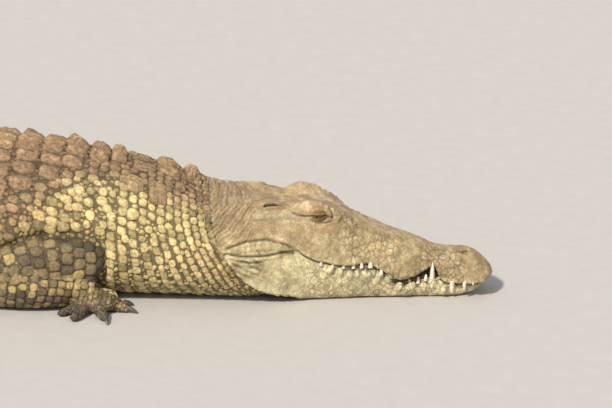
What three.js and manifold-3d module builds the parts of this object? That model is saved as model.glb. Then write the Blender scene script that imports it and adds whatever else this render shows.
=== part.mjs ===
// A life-size Nile crocodile at rest, lying on its belly with jaw, belly, feet and tail on the ground.
// Millimetres, +Z up, +X towards the snout, +Y to the animal's left. Every part is one closed solid.
// The body is a loft along a curved spine: u is the distance behind the back edge of the skull table,
// so the head lies at negative u. Limbs are lofts along their bones, cut where they meet the body.
import * as THREE from "three";
import { mergeVertices } from "three/addons/utils/BufferGeometryUtils.js";
import Module from "manifold-3d";

const wasm = await Module();
wasm.setup();

// Driving dimensions
const SNOUT = 560; // skull table's back edge to the snout tip
const TAIL_END = 3430; // skull table's back edge to the tail tip
const HEAD_CUT = 70; // where the head meets the neck
const NECK_CUT = 305; // where the neck meets the trunk
const VENT = 1480; // where the trunk meets the tail
const TAIL_CUTS = [VENT, 1960, 2440, 2920, TAIL_END];
const GAP = 0.3; // between neighbouring solids
const EYE = { forward: 142, out: 68, up: 186, radius: 21 };

// Spine heading in degrees at distances u: 0 runs along -X, positive turns the rear towards -Y.
const HEADING = [[-600, 9], [0, 9], [120, 8], [320, 2], [600, -1], [1000, -2], [1350, 0], [1550, 5],
  [1800, 9], [2100, 0], [2400, -18], [2700, -34], [3000, -42], [3250, -38], [3430, -28]];
// Body sections: u, half width, top height, height of the widest point, squareness of the outline.
const BODY = [[-20, 140, 214, 112, 2.1], [0, 150, 220, 108, 2.1], [60, 160, 234, 106, 2.1],
  [150, 162, 258, 108, 2.1], [250, 172, 284, 112, 2.15], [380, 198, 302, 116, 2.2],
  [550, 240, 308, 120, 2.25], [800, 268, 311, 122, 2.3], [1000, 268, 306, 122, 2.3],
  [1200, 238, 290, 118, 2.2], [1350, 200, 275, 112, 2.15], [1480, 172, 258, 106, 2.1],
  [1600, 150, 244, 100, 2.05], [1800, 122, 224, 92, 2.0], [2100, 90, 196, 82, 1.9],
  [2400, 66, 166, 72, 1.85], [2700, 46, 134, 60, 1.8], [3000, 31, 100, 46, 1.8],
  [3250, 19, 66, 32, 1.9], [3400, 10, 34, 16, 2.0], [3430, 5, 20, 9, 2.0]];
// Half width of the armour on the back, and the length of its cross rows, by u.
const SHIELD = [[60, 0.1], [90, 70], [200, 96], [265, 110], [450, 140], [800, 170], [1050, 168],
  [1300, 130], [1480, 104], [1600, 90]];
const ROW_LENGTH = [[265, 47], [500, 57], [800, 74], [1200, 76], [1480, 64], [2200, 56], [3430, 42]];
const KEEL = 14; // height of the keels on the back
// Crest of upright scutes on the tail: height by u. Two rows run back to CREST_JOIN and one from there.
const CREST = [[1480, 16], [1800, 30], [2200, 46], [2480, 56], [2800, 50], [3100, 38], [3430, 12]];
const CREST_JOIN = 2380;

// Head outlines by distance x in front of the skull table's back edge: [x, half width or height].
const TOP = [[-90, 232], [-30, 219], [10, 213], [60, 207], [100, 203], [130, 201], [160, 198], [190, 190],
  [215, 181], [250, 168], [283, 155], [311, 145], [346, 132], [369, 127], [395, 118], [419, 107],
  [441, 103], [476, 98], [500, 97], [518, 90], [537, 77], [552, 61], [560, 45]];
const RIDGE_OUT = [[-90, 92], [-30, 84], [10, 76], [60, 73], [90, 70], [115, 68], [150, 67], [185, 63],
  [215, 57], [250, 51], [290, 46], [326, 42], [406, 35], [445, 32], [500, 34], [540, 22], [560, 0]];
const RIDGE_UP = [[-90, 224], [-40, 216], [0, 218], [30, 219], [64, 212], [85, 207], [100, 217], [120, 225],
  [140, 221], [165, 208], [187, 199], [213, 183], [234, 167], [260, 158], [290, 147], [326, 133],
  [370, 118], [414, 99], [445, 93], [500, 89], [520, 82], [545, 63], [560, 44]];
const UNDER_OUT = [[-90, 128], [0, 92], [40, 87], [80, 84], [115, 84], [143, 84], [165, 82], [200, 78],
  [240, 72], [280, 69], [320, 68], [355, 66], [392, 56], [420, 46], [445, 50], [500, 52], [540, 37],
  [560, 0]];
const UNDER_UP = [[-90, 194], [0, 191], [80, 188], [115, 187], [143, 188], [165, 182], [200, 160],
  [240, 135], [280, 118], [320, 106], [355, 97], [392, 89], [422, 80], [448, 70], [500, 66],
  [540, 58], [560, 43]];
const CHEEK_OUT = [[-90, 155], [0, 128], [50, 120], [100, 112], [143, 103], [200, 92], [240, 85],
  [280, 80], [320, 80], [355, 78], [392, 61], [420, 52], [448, 58], [500, 62], [540, 45], [560, 0]];
const CHEEK_UP = [[-90, 150], [0, 152], [50, 154], [100, 149], [143, 136], [200, 114], [240, 106],
  [280, 99], [320, 82], [355, 70], [392, 76], [420, 76], [445, 48], [500, 46], [540, 44], [560, 42]];
const LIP_OUT = [[-90, 162], [-50, 150], [0, 140], [50, 130], [100, 119], [150, 108], [200, 98],
  [240, 90], [280, 84], [320, 82], [355, 80], [380, 72], [402, 61], [418, 54], [430, 55], [450, 60],
  [475, 64], [500, 64], [520, 59], [538, 48], [550, 34], [557, 18], [560, 0]];
const LIP_UP = [[-90, 108], [0, 120], [70, 126], [95, 124], [110, 112], [126, 103], [147, 94], [173, 88],
  [196, 84], [228, 82], [244, 85], [264, 86], [276, 76], [297, 68], [322, 51], [345, 47], [365, 52],
  [385, 60], [406, 69], [416, 70], [426, 52], [438, 39], [450, 36], [491, 35], [527, 38], [560, 41]];
const JAW_TIP = 538;
const JAW_OUT = [[-90, 162], [-50, 149], [0, 139], [50, 129], [100, 118], [150, 106], [200, 95],
  [240, 87], [280, 80], [320, 73], [350, 67], [380, 63], [406, 60], [424, 59], [440, 57], [465, 53],
  [490, 49], [508, 43], [523, 33], [533, 19], [JAW_TIP, 0]];
const JAW_UP = [[-90, 107.6], [0, 119.6], [70, 125.6], [95, 123], [110, 110], [126, 101], [147, 92],
  [173, 86], [196, 82], [228, 80], [244, 82], [264, 83], [276, 73], [297, 64], [322, 45], [347, 36],
  [370, 37], [393, 44], [408, 47], [418, 48], [428, 40], [446, 32], [467, 29], [510, 28], [JAW_TIP, 29]];
const JAW_UNDER = [[-90, 0], [465, 0], [500, 7], [525, 17], [JAW_TIP, 25]];

// A smooth curve through [position, value...] rows, without overshoot.
function follow(rows, at, column = 1) {
  let i = 0;
  while (i < rows.length - 2 && at > rows[i + 1][0]) i += 1;
  const [a, b] = [rows[i], rows[i + 1]];
  const span = b[0] - a[0];
  const t = Math.min(Math.max((at - a[0]) / span, 0), 1);
  const rise = (k) => (rows[k + 1][column] - rows[k][column]) / (rows[k + 1][0] - rows[k][0]);
  const slope = (k) => {
    if (k === 0 || k === rows.length - 1) return rise(Math.min(k, rows.length - 2));
    return rise(k - 1) * rise(k) <= 0 ? 0 : (2 * rise(k - 1) * rise(k)) / (rise(k - 1) + rise(k));
  };
  const [t2, t3] = [t * t, t * t * t];
  return (2 * t3 - 3 * t2 + 1) * a[column] + (t3 - 2 * t2 + t) * span * slope(i)
    + (3 * t2 - 2 * t3) * b[column] + (t3 - t2) * span * slope(i + 1);
}

// Spine points every STEP mm from u = 0 backwards, by adding up the heading.
const STEP = 10;
const spine = [[0, 0]];
for (let u = STEP; u <= TAIL_END + STEP; u += STEP) {
  const h = THREE.MathUtils.degToRad(follow(HEADING, u - STEP / 2));
  const [x, y] = spine.at(-1);
  spine.push([x - STEP * Math.cos(h), y - STEP * Math.sin(h)]);
}

// The point at distance u along the spine, out mm to the animal's left and up mm above the ground.
function place(u, out, up) {
  const h = THREE.MathUtils.degToRad(follow(HEADING, u));
  let x = -u * Math.cos(h);
  let y = -u * Math.sin(h);
  if (u > 0) {
    const i = Math.min(Math.floor(u / STEP), spine.length - 2);
    const t = u / STEP - i;
    x = spine[i][0] * (1 - t) + spine[i + 1][0] * t;
    y = spine[i][1] * (1 - t) + spine[i + 1][1] * t;
  }
  return new THREE.Vector3(x - out * Math.sin(h), y + out * Math.cos(h), up);
}

// Height of the back's outline at out mm from the middle.
function backHeight(u, out) {
  const [half, top, side, square] = [1, 2, 3, 4].map((c) => follow(BODY, u, c));
  const share = Math.min(Math.abs(out) / half, 1);
  return side + (top - side) * (1 - share ** square) ** (1 / square);
}

// Half outlines of the body run from the back's middle to the belly's as [out, up] pairs. Angles are
// degrees above the widest point.
const FLANK_ANGLES = [32, 8];
const BELLY_ANGLE = -26;
const BELLY_SINK = 16; // how far the round belly would reach below the ground, which makes its flat
const BELLY_FLAT = [[0, 0.5], [150, 0.4], [265, 0.36], [450, 0.45], [800, 0.62], [1200, 0.6], [1480, 0.5],
  [3430, 0.5]]; // the flat's share of the half width, by u
const CREST_ANGLES = [90, 60, 32, 4];

function sidePoint(u, degrees, grow) {
  const [half, top, side, square] = [1, 2, 3, 4].map((c) => follow(BODY, u, c));
  const a = THREE.MathUtils.degToRad(degrees);
  const rise = degrees > 0 ? top - side + grow : side + BELLY_SINK + grow;
  const up = side + Math.sign(a) * rise * Math.abs(Math.sin(a)) ** (2 / square);
  return [(half + grow) * Math.abs(Math.cos(a)) ** (2 / square), Math.max(up, 0)];
}

function bellyPoints(u, grow) {
  const flat = follow(BODY, u) * follow(BELLY_FLAT, u) + grow;
  return [sidePoint(u, BELLY_ANGLE, grow), [flat, 0], [0, 0]];
}

const KEEL_PLACES = [[0, 0.2], [0.25, 1], [0.5, 0.2], [0.75, 1], [1, 0.2]]; // shares of the shield, of KEEL

function trunkHalf(u, keel, grow = 0) {
  const shield = follow(SHIELD, u);
  const back = KEEL_PLACES.map(([share, lift]) =>
    [shield * share, backHeight(u, shield * share) + keel * lift + grow]);
  return [...back, ...FLANK_ANGLES.map((a) => sidePoint(u, a, grow)), ...bellyPoints(u, grow)];
}

const tailHalf = (u, grow = 0) =>
  [...CREST_ANGLES.map((a) => sidePoint(u, a, grow)), ...bellyPoints(u, grow)];

// The head's half outlines at x: above the mouth, and the lower jaw below it.
const PALATE = { out: 0.8, step: 1 }; // where the lips turn in, as a share of their half width, and how far
const CROWN = { out: 0.55, drop: 0.35 }; // between the skull's middle and its ridge, as shares of the way
const JAW_SIDE = { lip: 0.96, middle: 0.5, low: [0.93, 0.17], flat: 0.6 }; // shares of half width and height

function headHalf(x, grow = 0) {
  const [top, ridge, ridgeUp] = [follow(TOP, x), follow(RIDGE_OUT, x), follow(RIDGE_UP, x)];
  const [lip, lipUp] = [follow(LIP_OUT, x) + grow, follow(LIP_UP, x) - grow];
  return [[0, top], [ridge * CROWN.out, top + (ridgeUp - top) * CROWN.drop], [ridge, ridgeUp],
    [follow(UNDER_OUT, x), follow(UNDER_UP, x)], [follow(CHEEK_OUT, x) + grow, follow(CHEEK_UP, x)],
    [lip, lipUp], [lip * PALATE.out, lipUp + PALATE.step], [0, lipUp + PALATE.step]];
}

function jawHalf(x) {
  const [out, up, under] = [follow(JAW_OUT, x), follow(JAW_UP, x), follow(JAW_UNDER, x)];
  const at = (share) => under + (up - under) * share;
  const { lip, middle, low, flat } = JAW_SIDE;
  return [[0, up - PALATE.step], [out * PALATE.out, up - PALATE.step], [out * lip, up],
    [out, at(middle)], [out * low[0], at(low[1])], [out * flat, under], [0, under]];
}

const MERGE = 1e-3; // points closer than this are one
const SMALL_RING = 8;

// A closed mesh over rings of points. An end ring of up to SMALL_RING points is shut by a fan from its
// first point, a larger one by a fan from its middle.
function loft(rings) {
  const points = rings.flat();
  const count = rings[0].length;
  const faces = [];
  for (let i = 0; i < rings.length - 1; i += 1) {
    for (let j = 0; j < count; j += 1) {
      const [a, b] = [i * count + j, i * count + ((j + 1) % count)];
      faces.push(a, b, b + count, a, b + count, a + count);
    }
  }
  for (const [end, turned] of [[0, true], [rings.length - 1, false]]) {
    const small = count <= SMALL_RING;
    const hub = small ? end * count : points.length;
    if (!small) {
      const sum = rings[end].reduce((total, p) => total.add(p), new THREE.Vector3());
      points.push(sum.divideScalar(count));
    }
    for (let j = small ? 1 : 0; j < (small ? count - 1 : count); j += 1) {
      const [a, b] = [end * count + j, end * count + ((j + 1) % count)];
      faces.push(hub, ...(turned ? [b, a] : [a, b]));
    }
  }
  const geometry = new THREE.BufferGeometry().setFromPoints(points);
  geometry.setIndex(faces);
  return geometry;
}

function toSolid(geometry) {
  const plain = geometry.clone();
  for (const name of ["normal", "uv"]) plain.deleteAttribute(name);
  const merged = mergeVertices(plain, MERGE);
  const corners = [...merged.index.array];
  const triangles = [];
  for (let i = 0; i < corners.length; i += 3) {
    const triangle = corners.slice(i, i + 3);
    if (new Set(triangle).size === 3) triangles.push(...triangle);
  }
  const mesh = new wasm.Mesh({
    numProp: 3,
    vertProperties: new Float32Array(merged.attributes.position.array),
    triVerts: new Uint32Array(triangles),
  });
  mesh.merge();
  return new wasm.Manifold(mesh);
}

function toGeometry(solid) {
  const mesh = solid.getMesh();
  const position = new THREE.BufferAttribute(new Float32Array(mesh.vertProperties), 3);
  const geometry = new THREE.BufferGeometry().setAttribute("position", position);
  geometry.setIndex(new THREE.BufferAttribute(new Uint32Array(mesh.triVerts), 1));
  geometry.computeVertexNormals();
  return geometry;
}

// A whole ring at u from a half outline: down the animal's left side and up its right.
function ring(u, half) {
  const left = half.map(([out, up]) => place(u, out, up));
  const right = half.slice(1, -1).reverse().map(([out, up]) => place(u, -out, up));
  return [...left, ...right];
}

// Cross rows of the armour: the u of each row's middle, from the shoulder to the tail tip.
const FIRST_ROW = 331;
const LAST_ROW = 3370;
const VALLEY = 2; // keel height between two rows
const rowMiddles = [];
for (let u = FIRST_ROW; u < LAST_ROW; u += follow(ROW_LENGTH, u)) rowMiddles.push(u);

function trunkRings(grow = 0) {
  const rings = [ring(NECK_CUT + GAP, trunkHalf(NECK_CUT, 0, grow))];
  for (const u of rowMiddles) {
    const half = follow(ROW_LENGTH, u) / 2;
    if (u + half > VENT) break;
    rings.push(ring(u, trunkHalf(u, KEEL, grow)), ring(u + half, trunkHalf(u + half, VALLEY, grow)));
  }
  rings.push(ring(VENT + 2 * grow, trunkHalf(VENT, VALLEY, grow)));
  return rings;
}

// The neck's scutes as [u, out, height]: four broad ones in a square with one more at each side, and a
// low row nearer the skull.
const NUCHAL = [[222, 34, 16], [272, 36, 16], [246, 96, 13], [144, 28, 9], [148, 74, 8]];
const NUCHAL_SIZE = 32;
const NUCHAL_SHARPNESS = 3;
const NECK_OUTS = [0, 24, 47, 71, 94, 118];
const NECK_STEPS = 9;

function neckHalf(u, grow) {
  const lift = (out) => Math.max(...NUCHAL.map(([middle, across, height]) =>
    height * Math.max(0, 1 - (Math.hypot(u - middle, out - across) / NUCHAL_SIZE) ** NUCHAL_SHARPNESS)));
  const top = NECK_OUTS.map((out) => [out, backHeight(u, out) + lift(out) + grow]);
  return [...top, sidePoint(u, FLANK_ANGLES.at(-1), grow), ...bellyPoints(u, grow)];
}

function neckRings(grow = 0) {
  const [from, to] = [HEAD_CUT + GAP - grow, NECK_CUT + 2 * grow];
  return Array.from({ length: NECK_STEPS + 1 }, (_, i) => {
    const u = from + ((to - from) * i) / NECK_STEPS;
    return ring(u, neckHalf(u, grow));
  });
}

// A pointed cone for a tooth or a claw, from its root to its tip.
function cone(root, tip, radius, sides = 4) {
  const axis = tip.clone().sub(root);
  const across = new THREE.Vector3(0, 1, 0).cross(axis).normalize();
  const other = axis.clone().cross(across).normalize();
  const rings = [[0, 1], [1, 0]].map(([t, share]) => {
    const middle = root.clone().addScaledVector(axis, t);
    return Array.from({ length: sides }, (_, k) => {
      const a = (2 * Math.PI * k) / sides;
      return middle.clone().addScaledVector(across, radius * share * Math.cos(a))
        .addScaledVector(other, radius * share * Math.sin(a));
    });
  });
  return outward(loft(rings));
}

// The same closed mesh with its faces pointing out.
function outward(geometry) {
  const solid = toSolid(geometry);
  if (solid.volume() > 0) return solid;
  const index = geometry.index.array;
  for (let i = 0; i < index.length; i += 3) [index[i + 1], index[i + 2]] = [index[i + 2], index[i + 1]];
  return toSolid(geometry);
}

// Teeth that show when the mouth is shut: x along the jaw, length and radius.
const LOWER_TEETH = [[412, 34, 6.5], [396, 12, 4.5], [378, 10, 4], [291, 10, 4.5], [267, 16, 5.5],
  [246, 9, 4], [228, 9, 4], [205, 9, 4]];
const UPPER_TEETH = [[503, 14, 4.5], [484, 22, 5], [457, 28, 6]];

const SOCKET = 6; // how deep a tooth is rooted
const TOOTH_CLEAR = 3; // an upper tooth's tip above the ground
const TOOTH_SET = { lower: { share: 0.97, lean: 6 }, upper: { share: 0.95, lean: 2 }, inward: 0.4 };

function withTeeth(jaw, teeth, lower, grow = 0) {
  let made = jaw;
  const { share, lean } = lower ? TOOTH_SET.lower : TOOTH_SET.upper;
  const [lipOut, lipUp] = lower ? [JAW_OUT, JAW_UP] : [LIP_OUT, LIP_UP];
  for (const side of [-1, 1]) {
    for (const [x, length, radius] of teeth) {
      const out = side * (follow(lipOut, x) * share - radius * TOOTH_SET.inward);
      const up = follow(lipUp, x);
      const reach = lower ? length : -Math.min(length, up - TOOTH_CLEAR);
      const root = place(-x, out, up - Math.sign(reach) * SOCKET);
      const tip = place(-x, out + side * lean, up + reach);
      made = made.add(cone(root, tip, radius + grow));
    }
  }
  return made;
}

const HEAD_STATIONS = [-HEAD_CUT, 0, 60, 85, 102, 120, 142, 168, 200, 232, 262, 280, 305, 328, 350, 380,
  408, 418, 430, 448, 480, 505, 528, 545, 558];
const JAW_STATIONS = [-HEAD_CUT, 0, 90, 110, 147, 190, 235, 264, 280, 305, 328, 352, 390, 418, 430, 448,
  475, 505, 523, 534];

const stationsOf = (stations, half) => stations.map((x) => ring(-x, half(x)));

function upperHead(grow = 0) {
  const whole = outward(loft(stationsOf(HEAD_STATIONS, (x) => headHalf(x, grow))));
  return withTeeth(whole, UPPER_TEETH, false, grow);
}

function lowerJaw() {
  const whole = outward(loft(stationsOf(JAW_STATIONS, jawHalf)));
  return withTeeth(whole, LOWER_TEETH, true);
}

const SCUTE = { length: 0.9, sunk: 8, thick: 5, thicker: 0.08, crown: [0.12, 0.5] }; // lengths in rows
const TAIL_RING = 80; // between the rings of the tail's loft
const TAIL_TIP = 2; // the last ring's distance before the tail's end
const PAIR = { apart: 0.42, closes: 250, over: 700 }; // the double crest's spread in half widths, and its end

// An upright, back-leaning scute of the tail's crest.
function crestScute(u, out, height) {
  const length = follow(ROW_LENGTH, u) * SCUTE.length;
  const base = backHeight(u, out) - SCUTE.sunk;
  const thick = SCUTE.thick + height * SCUTE.thicker;
  const corners = [[-0.5, -1], [-0.5, 1], [0.5, 1], [0.5, -1]].map(([along, side]) =>
    place(u + along * length, out + side * thick, base));
  const [front, back] = SCUTE.crown;
  const crown = [front, front, back, back].map((along) =>
    place(u + along * length, out, base + SCUTE.sunk + height));
  return outward(loft([corners, crown]));
}

function tailRings(from, to, grow = 0) {
  const count = Math.round((to - from) / TAIL_RING);
  return Array.from({ length: count + 1 }, (_, i) => {
    const u = Math.min(from + GAP + ((to - from - GAP) * i) / count, TAIL_END - TAIL_TIP);
    return ring(u, tailHalf(u, grow));
  });
}

function tailSection(from, to) {
  let made = outward(loft(tailRings(from, to)));
  for (const u of rowMiddles) {
    const half = (follow(ROW_LENGTH, u) * SCUTE.length) / 2;
    if (u - half < from + GAP || u + half > to) continue;
    const apart = follow(BODY, u) * PAIR.apart * Math.min(1, (CREST_JOIN + PAIR.closes - u) / PAIR.over);
    const rows = u < CREST_JOIN ? [-apart, apart] : [0];
    for (const out of rows) made = made.add(crestScute(u, out, follow(CREST, u)));
  }
  return made;
}

const LIMB_LOOK = { sides: 8, steps: 3, caps: [40] }; // caps: degrees round each end where a ring lies
const CAP_LENGTH = 0.8; // a rounded end's length in radii

// A round-ended limb piece through joints of [x, y, z, radius across, radius up], cut off by the ground.
function limb(joints, grow = 0, { sides, steps, caps } = LIMB_LOOK) {
  const points = joints.map(([x, y, z]) => new THREE.Vector3(x, y, z));
  const curve = new THREE.CatmullRomCurve3(points);
  const size = (t, column) => {
    const rows = joints.map((joint, i) => [i / (joints.length - 1), joint[column]]);
    return follow(rows, t) + grow;
  };
  const turns = caps.map(THREE.MathUtils.degToRad);
  const stops = turns.toReversed().map((a) => [0, -Math.sin(a), Math.cos(a)]);
  for (let i = 0; i <= steps; i += 1) stops.push([i / steps, 0, 1]);
  stops.push(...turns.map((a) => [1, Math.sin(a), Math.cos(a)]));
  const rings = stops.map(([t, beyond, share]) => {
    const along = curve.getTangent(t);
    const middle = curve.getPoint(t).addScaledVector(along, beyond * size(t, 3) * CAP_LENGTH);
    const across = new THREE.Vector3(0, 0, 1).cross(along).normalize();
    const upward = along.clone().cross(across).normalize();
    return Array.from({ length: sides }, (_, k) => {
      const a = (2 * Math.PI * k) / sides;
      return middle.clone().addScaledVector(across, size(t, 3) * share * Math.cos(a))
        .addScaledVector(upward, size(t, 4) * share * Math.sin(a));
    });
  });
  return outward(loft(rings)).trimByPlane([0, 0, 1], 0);
}

// Leg joints: u, mm out from the spine, height, radius across, radius up. Digits: degrees turned out from
// straight ahead, length from the palm's middle, radius. The first three digits bear claws.
const FORELEG = {
  upper: [[352, 136, 104, 70, 74], [440, 172, 104, 70, 70], [552, 210, 70, 62, 62]],
  lower: [[556, 214, 58, 57, 56], [455, 206, 55, 55, 54], [350, 168, 37, 41, 37]],
  palm: [325, 188, 21, 42, 24],
  digits: [[-22, 66, 11], [8, 72, 12], [68, 80, 12], [110, 98, 11], [134, 92, 10]],
  web: 0,
};
const HINDLEG = {
  upper: [[1360, 86, 150, 112, 118], [1270, 186, 128, 92, 98], [1180, 266, 94, 64, 72]],
  lower: [[1180, 266, 88, 62, 68], [1262, 318, 68, 55, 60], [1345, 356, 40, 40, 40]],
  palm: [1290, 390, 20, 52, 22],
  digits: [[-4, 150, 14], [14, 176, 14], [32, 182, 13], [50, 160, 12]],
  web: 0.62,
};
const CLAWED = 3;
const CLAW = { length: 30, radius: 6, root: 0.75, tipUp: 2, sides: 5 }; // root: height in digit radii

// A digit's direction in plan, and the point a share of the way along it. Side is 1 left and -1 right.
function digitLine([x, y], [turn, length], side) {
  const a = THREE.MathUtils.degToRad(turn * side);
  const direction = new THREE.Vector3(Math.cos(a), Math.sin(a), 0);
  const at = (share, up) => new THREE.Vector3(x, y, up).addScaledVector(direction, length * share);
  return { direction, at };
}

const PALM = { reach: 22, heel: 0.8, front: 0.9, look: { sides: 8, steps: 1, caps: [50] } };
const DIGIT_LOOK = { sides: 5, steps: 2, caps: [55] };
// Along a digit: share of its length, then height, radius across and radius up as shares of its radius.
const DIGIT_JOINTS = [[0.1, 1.2, 1.3, 1.2], [0.62, 1.05, 1, 1.05], [1, 0.7, 0.75, 0.8]];

function footFlesh(palm, digits, web, side, grow) {
  const [x, y, up, wide, high] = palm;
  const heel = [x - PALM.reach, y, up, wide * PALM.heel, high];
  const pad = [heel, [x + PALM.reach, y, up, wide, high * PALM.front]];
  let made = limb(pad, grow, PALM.look);
  for (const digit of digits) {
    const { at } = digitLine(palm, digit, side);
    const radius = digit[2];
    const joints = DIGIT_JOINTS.map(([share, ...sizes]) => {
      const [height, across, upward] = sizes.map((size) => size * radius);
      return [...at(share, height).toArray(), across, upward];
    });
    made = made.add(limb(joints, grow, DIGIT_LOOK));
  }
  return web ? made.add(webbing(palm, digits, web, side, grow)) : made;
}

const WEB = { dip: 0.78, thick: 7, up: 3 }; // dip: how far the web reaches between two toes, of their reach

// The web of skin between neighbouring toes.
function webbing(palm, digits, web, side, grow) {
  const shape = new THREE.Shape();
  shape.moveTo(palm[0], palm[1]);
  digits.forEach((digit, i) => {
    const tip = digitLine(palm, digit, side).at(web, 0);
    shape.lineTo(tip.x, tip.y);
    if (i === digits.length - 1) return;
    const next = digits[i + 1];
    const between = digitLine(palm, [(digit[0] + next[0]) / 2, digit[1]], side).at(web * WEB.dip, 0);
    shape.lineTo(between.x, between.y);
  });
  shape.closePath();
  const plate = new THREE.ExtrudeGeometry(shape, { depth: WEB.thick + 2 * grow, bevelEnabled: false });
  return toSolid(plate).translate([0, 0, WEB.up - grow]);
}

function claw(palm, digit, side) {
  const { direction, at } = digitLine(palm, digit, side);
  const root = at(1, digit[2] * CLAW.root);
  const tip = root.clone().addScaledVector(direction, CLAW.length);
  tip.z = CLAW.tipUp;
  return cone(root, tip, CLAW.radius, CLAW.sides).trimByPlane([0, 0, 1], 0);
}

// Materials by part of the body
const finish = (color, roughness) => new THREE.MeshStandardMaterial({ color, roughness, metalness: 0 });
const HIDE = finish(0x8f7c56, 0.85);
const HEAD_HIDE = finish(0xa8946c, 0.8);
const JAW_HIDE = finish(0xbdb08a, 0.75);
const LIMB_HIDE = finish(0x776a4a, 0.85);
const HORN = finish(0x3d362c, 0.5);
const EYEBALL = finish(0x7a6a2c, 0.2);

const crocodile = new THREE.Group();
function part(name, solid, material) {
  const mesh = new THREE.Mesh(toGeometry(solid), material);
  mesh.name = name;
  crocodile.add(mesh);
}

function eyeball(side, grow = 0) {
  const ball = new THREE.IcosahedronGeometry(EYE.radius + grow, 1);
  const at = place(-EYE.forward, side * EYE.out, EYE.up);
  return toSolid(ball).translate([at.x, at.y, at.z]);
}

function addHead() {
  let head = upperHead();
  for (const side of [-1, 1]) head = head.subtract(eyeball(side, GAP));
  part("head", head, HEAD_HIDE);
  part("lower_jaw", largest(lowerJaw().subtract(upperHead(GAP))), JAW_HIDE);
  part("eye_right", eyeball(-1), EYEBALL);
  part("eye_left", eyeball(1), EYEBALL);
}

function addBody() {
  part("neck", outward(loft(neckRings())), HIDE);
  part("trunk", outward(loft(trunkRings())), HIDE);
  const names = ["tail_base", "tail_middle", "tail_rear", "tail_tip"];
  names.forEach((name, i) => part(name, tailSection(TAIL_CUTS[i], TAIL_CUTS[i + 1]), HIDE));
}

const CUT_ORDER = [1, 0, 2]; // the lower leg keeps its whole shape, then the upper leg, then the foot

function addLeg(leg, names, ahead, side) {
  const end = side > 0 ? "left" : "right";
  const joint = ([u, out, up, ...radii]) => [...place(u - ahead, side * out, up).toArray(), ...radii];
  const palm = joint(leg.palm);
  const shapes = [(grow) => limb(leg.upper.map(joint), grow), (grow) => limb(leg.lower.map(joint), grow),
    (grow) => footFlesh(palm, leg.digits, leg.web, side, grow)];
  let taken = nearBody;
  for (const i of CUT_ORDER) {
    part(`${names[i]}_${end}`, largest(shapes[i](0).subtract(taken)), LIMB_HIDE);
    taken = taken.add(shapes[i](GAP));
  }
  for (let i = 0; i < CLAWED; i += 1) {
    const horn = largest(claw(palm, leg.digits[i], side).subtract(taken));
    part(`${names[2]}_claw_${i + 1}_${end}`, horn, HORN);
  }
}

// The biggest body of a cut solid, without its crumbs.
function largest(solid) {
  return solid.decompose().sort((a, b) => b.volume() - a.volume())[0];
}

addHead();
addBody();
const CLEARANCE = 1; // between the body's facets and the legs'
const bodyLengths = [neckRings(CLEARANCE), trunkRings(CLEARANCE), tailRings(VENT, TAIL_CUTS[1], CLEARANCE)];
const nearBody = bodyLengths.map((rings) => outward(loft(rings))).reduce((sum, solid) => sum.add(solid));
const LEFT_AHEAD = { fore: 35, hind: -40 }; // how far the left legs lie ahead of the right ones
for (const [side, ahead] of [[-1, { fore: 0, hind: 0 }], [1, LEFT_AHEAD]]) {
  addLeg(FORELEG, ["upper_arm", "forearm", "hand"], ahead.fore, side);
  addLeg(HINDLEG, ["thigh", "shank", "foot"], ahead.hind, side);
}

const box = new THREE.Box3().setFromObject(crocodile);
const middle = box.getCenter(new THREE.Vector3());
crocodile.position.set(-middle.x, -middle.y, -box.min.z);

export default crocodile;
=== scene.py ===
import math

import bmesh
import bpy
import numpy as np
from mathutils import Matrix, Vector
from mathutils.bvhtree import BVHTree


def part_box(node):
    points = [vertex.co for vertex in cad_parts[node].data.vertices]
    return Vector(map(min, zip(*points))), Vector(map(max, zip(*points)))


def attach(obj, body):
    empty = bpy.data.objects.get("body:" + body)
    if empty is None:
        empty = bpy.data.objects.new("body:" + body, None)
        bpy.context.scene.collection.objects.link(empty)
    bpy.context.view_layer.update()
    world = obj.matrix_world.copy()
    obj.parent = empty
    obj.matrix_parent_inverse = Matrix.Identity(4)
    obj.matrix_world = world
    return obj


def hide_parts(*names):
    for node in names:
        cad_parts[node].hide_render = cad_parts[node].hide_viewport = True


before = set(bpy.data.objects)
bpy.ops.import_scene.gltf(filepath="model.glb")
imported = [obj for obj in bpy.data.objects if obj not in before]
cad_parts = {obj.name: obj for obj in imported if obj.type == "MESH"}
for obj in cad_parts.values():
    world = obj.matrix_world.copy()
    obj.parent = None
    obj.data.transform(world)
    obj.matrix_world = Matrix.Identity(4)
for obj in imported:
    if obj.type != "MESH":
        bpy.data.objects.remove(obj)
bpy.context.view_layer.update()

rng = np.random.default_rng(41)
SIDES = ((-1, "right"), (1, "left"))
MM = 0.001


# ---------------------------------------------------------------- curves
def curve(rows, column=1):
    """A smooth curve without overshoot through [position, value...] rows, for arrays."""
    x = np.array([r[0] for r in rows], float)
    y = np.array([r[column] for r in rows], float)
    d = np.diff(y) / np.diff(x)
    m = np.concatenate([[d[0]], np.zeros(len(x) - 2), [d[-1]]])
    a, b = d[:-1], d[1:]
    same = a * b > 0
    m[1:-1][same] = 2 * a[same] * b[same] / (a[same] + b[same])

    def at(q):
        q = np.asarray(q, float)
        i = np.clip(np.searchsorted(x, q, side="right") - 1, 0, len(x) - 2)
        span = x[i + 1] - x[i]
        t = np.clip((q - x[i]) / span, 0, 1)
        t2, t3 = t * t, t * t * t
        return ((2 * t3 - 3 * t2 + 1) * y[i] + (t3 - 2 * t2 + t) * span * m[i]
                + (3 * t2 - 2 * t3) * y[i + 1] + (t3 - t2) * span * m[i + 1])
    return at


def smoothstep(lo, hi, q):
    t = np.clip((q - lo) / (hi - lo), 0, 1)
    return t * t * (3 - 2 * t)


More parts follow.
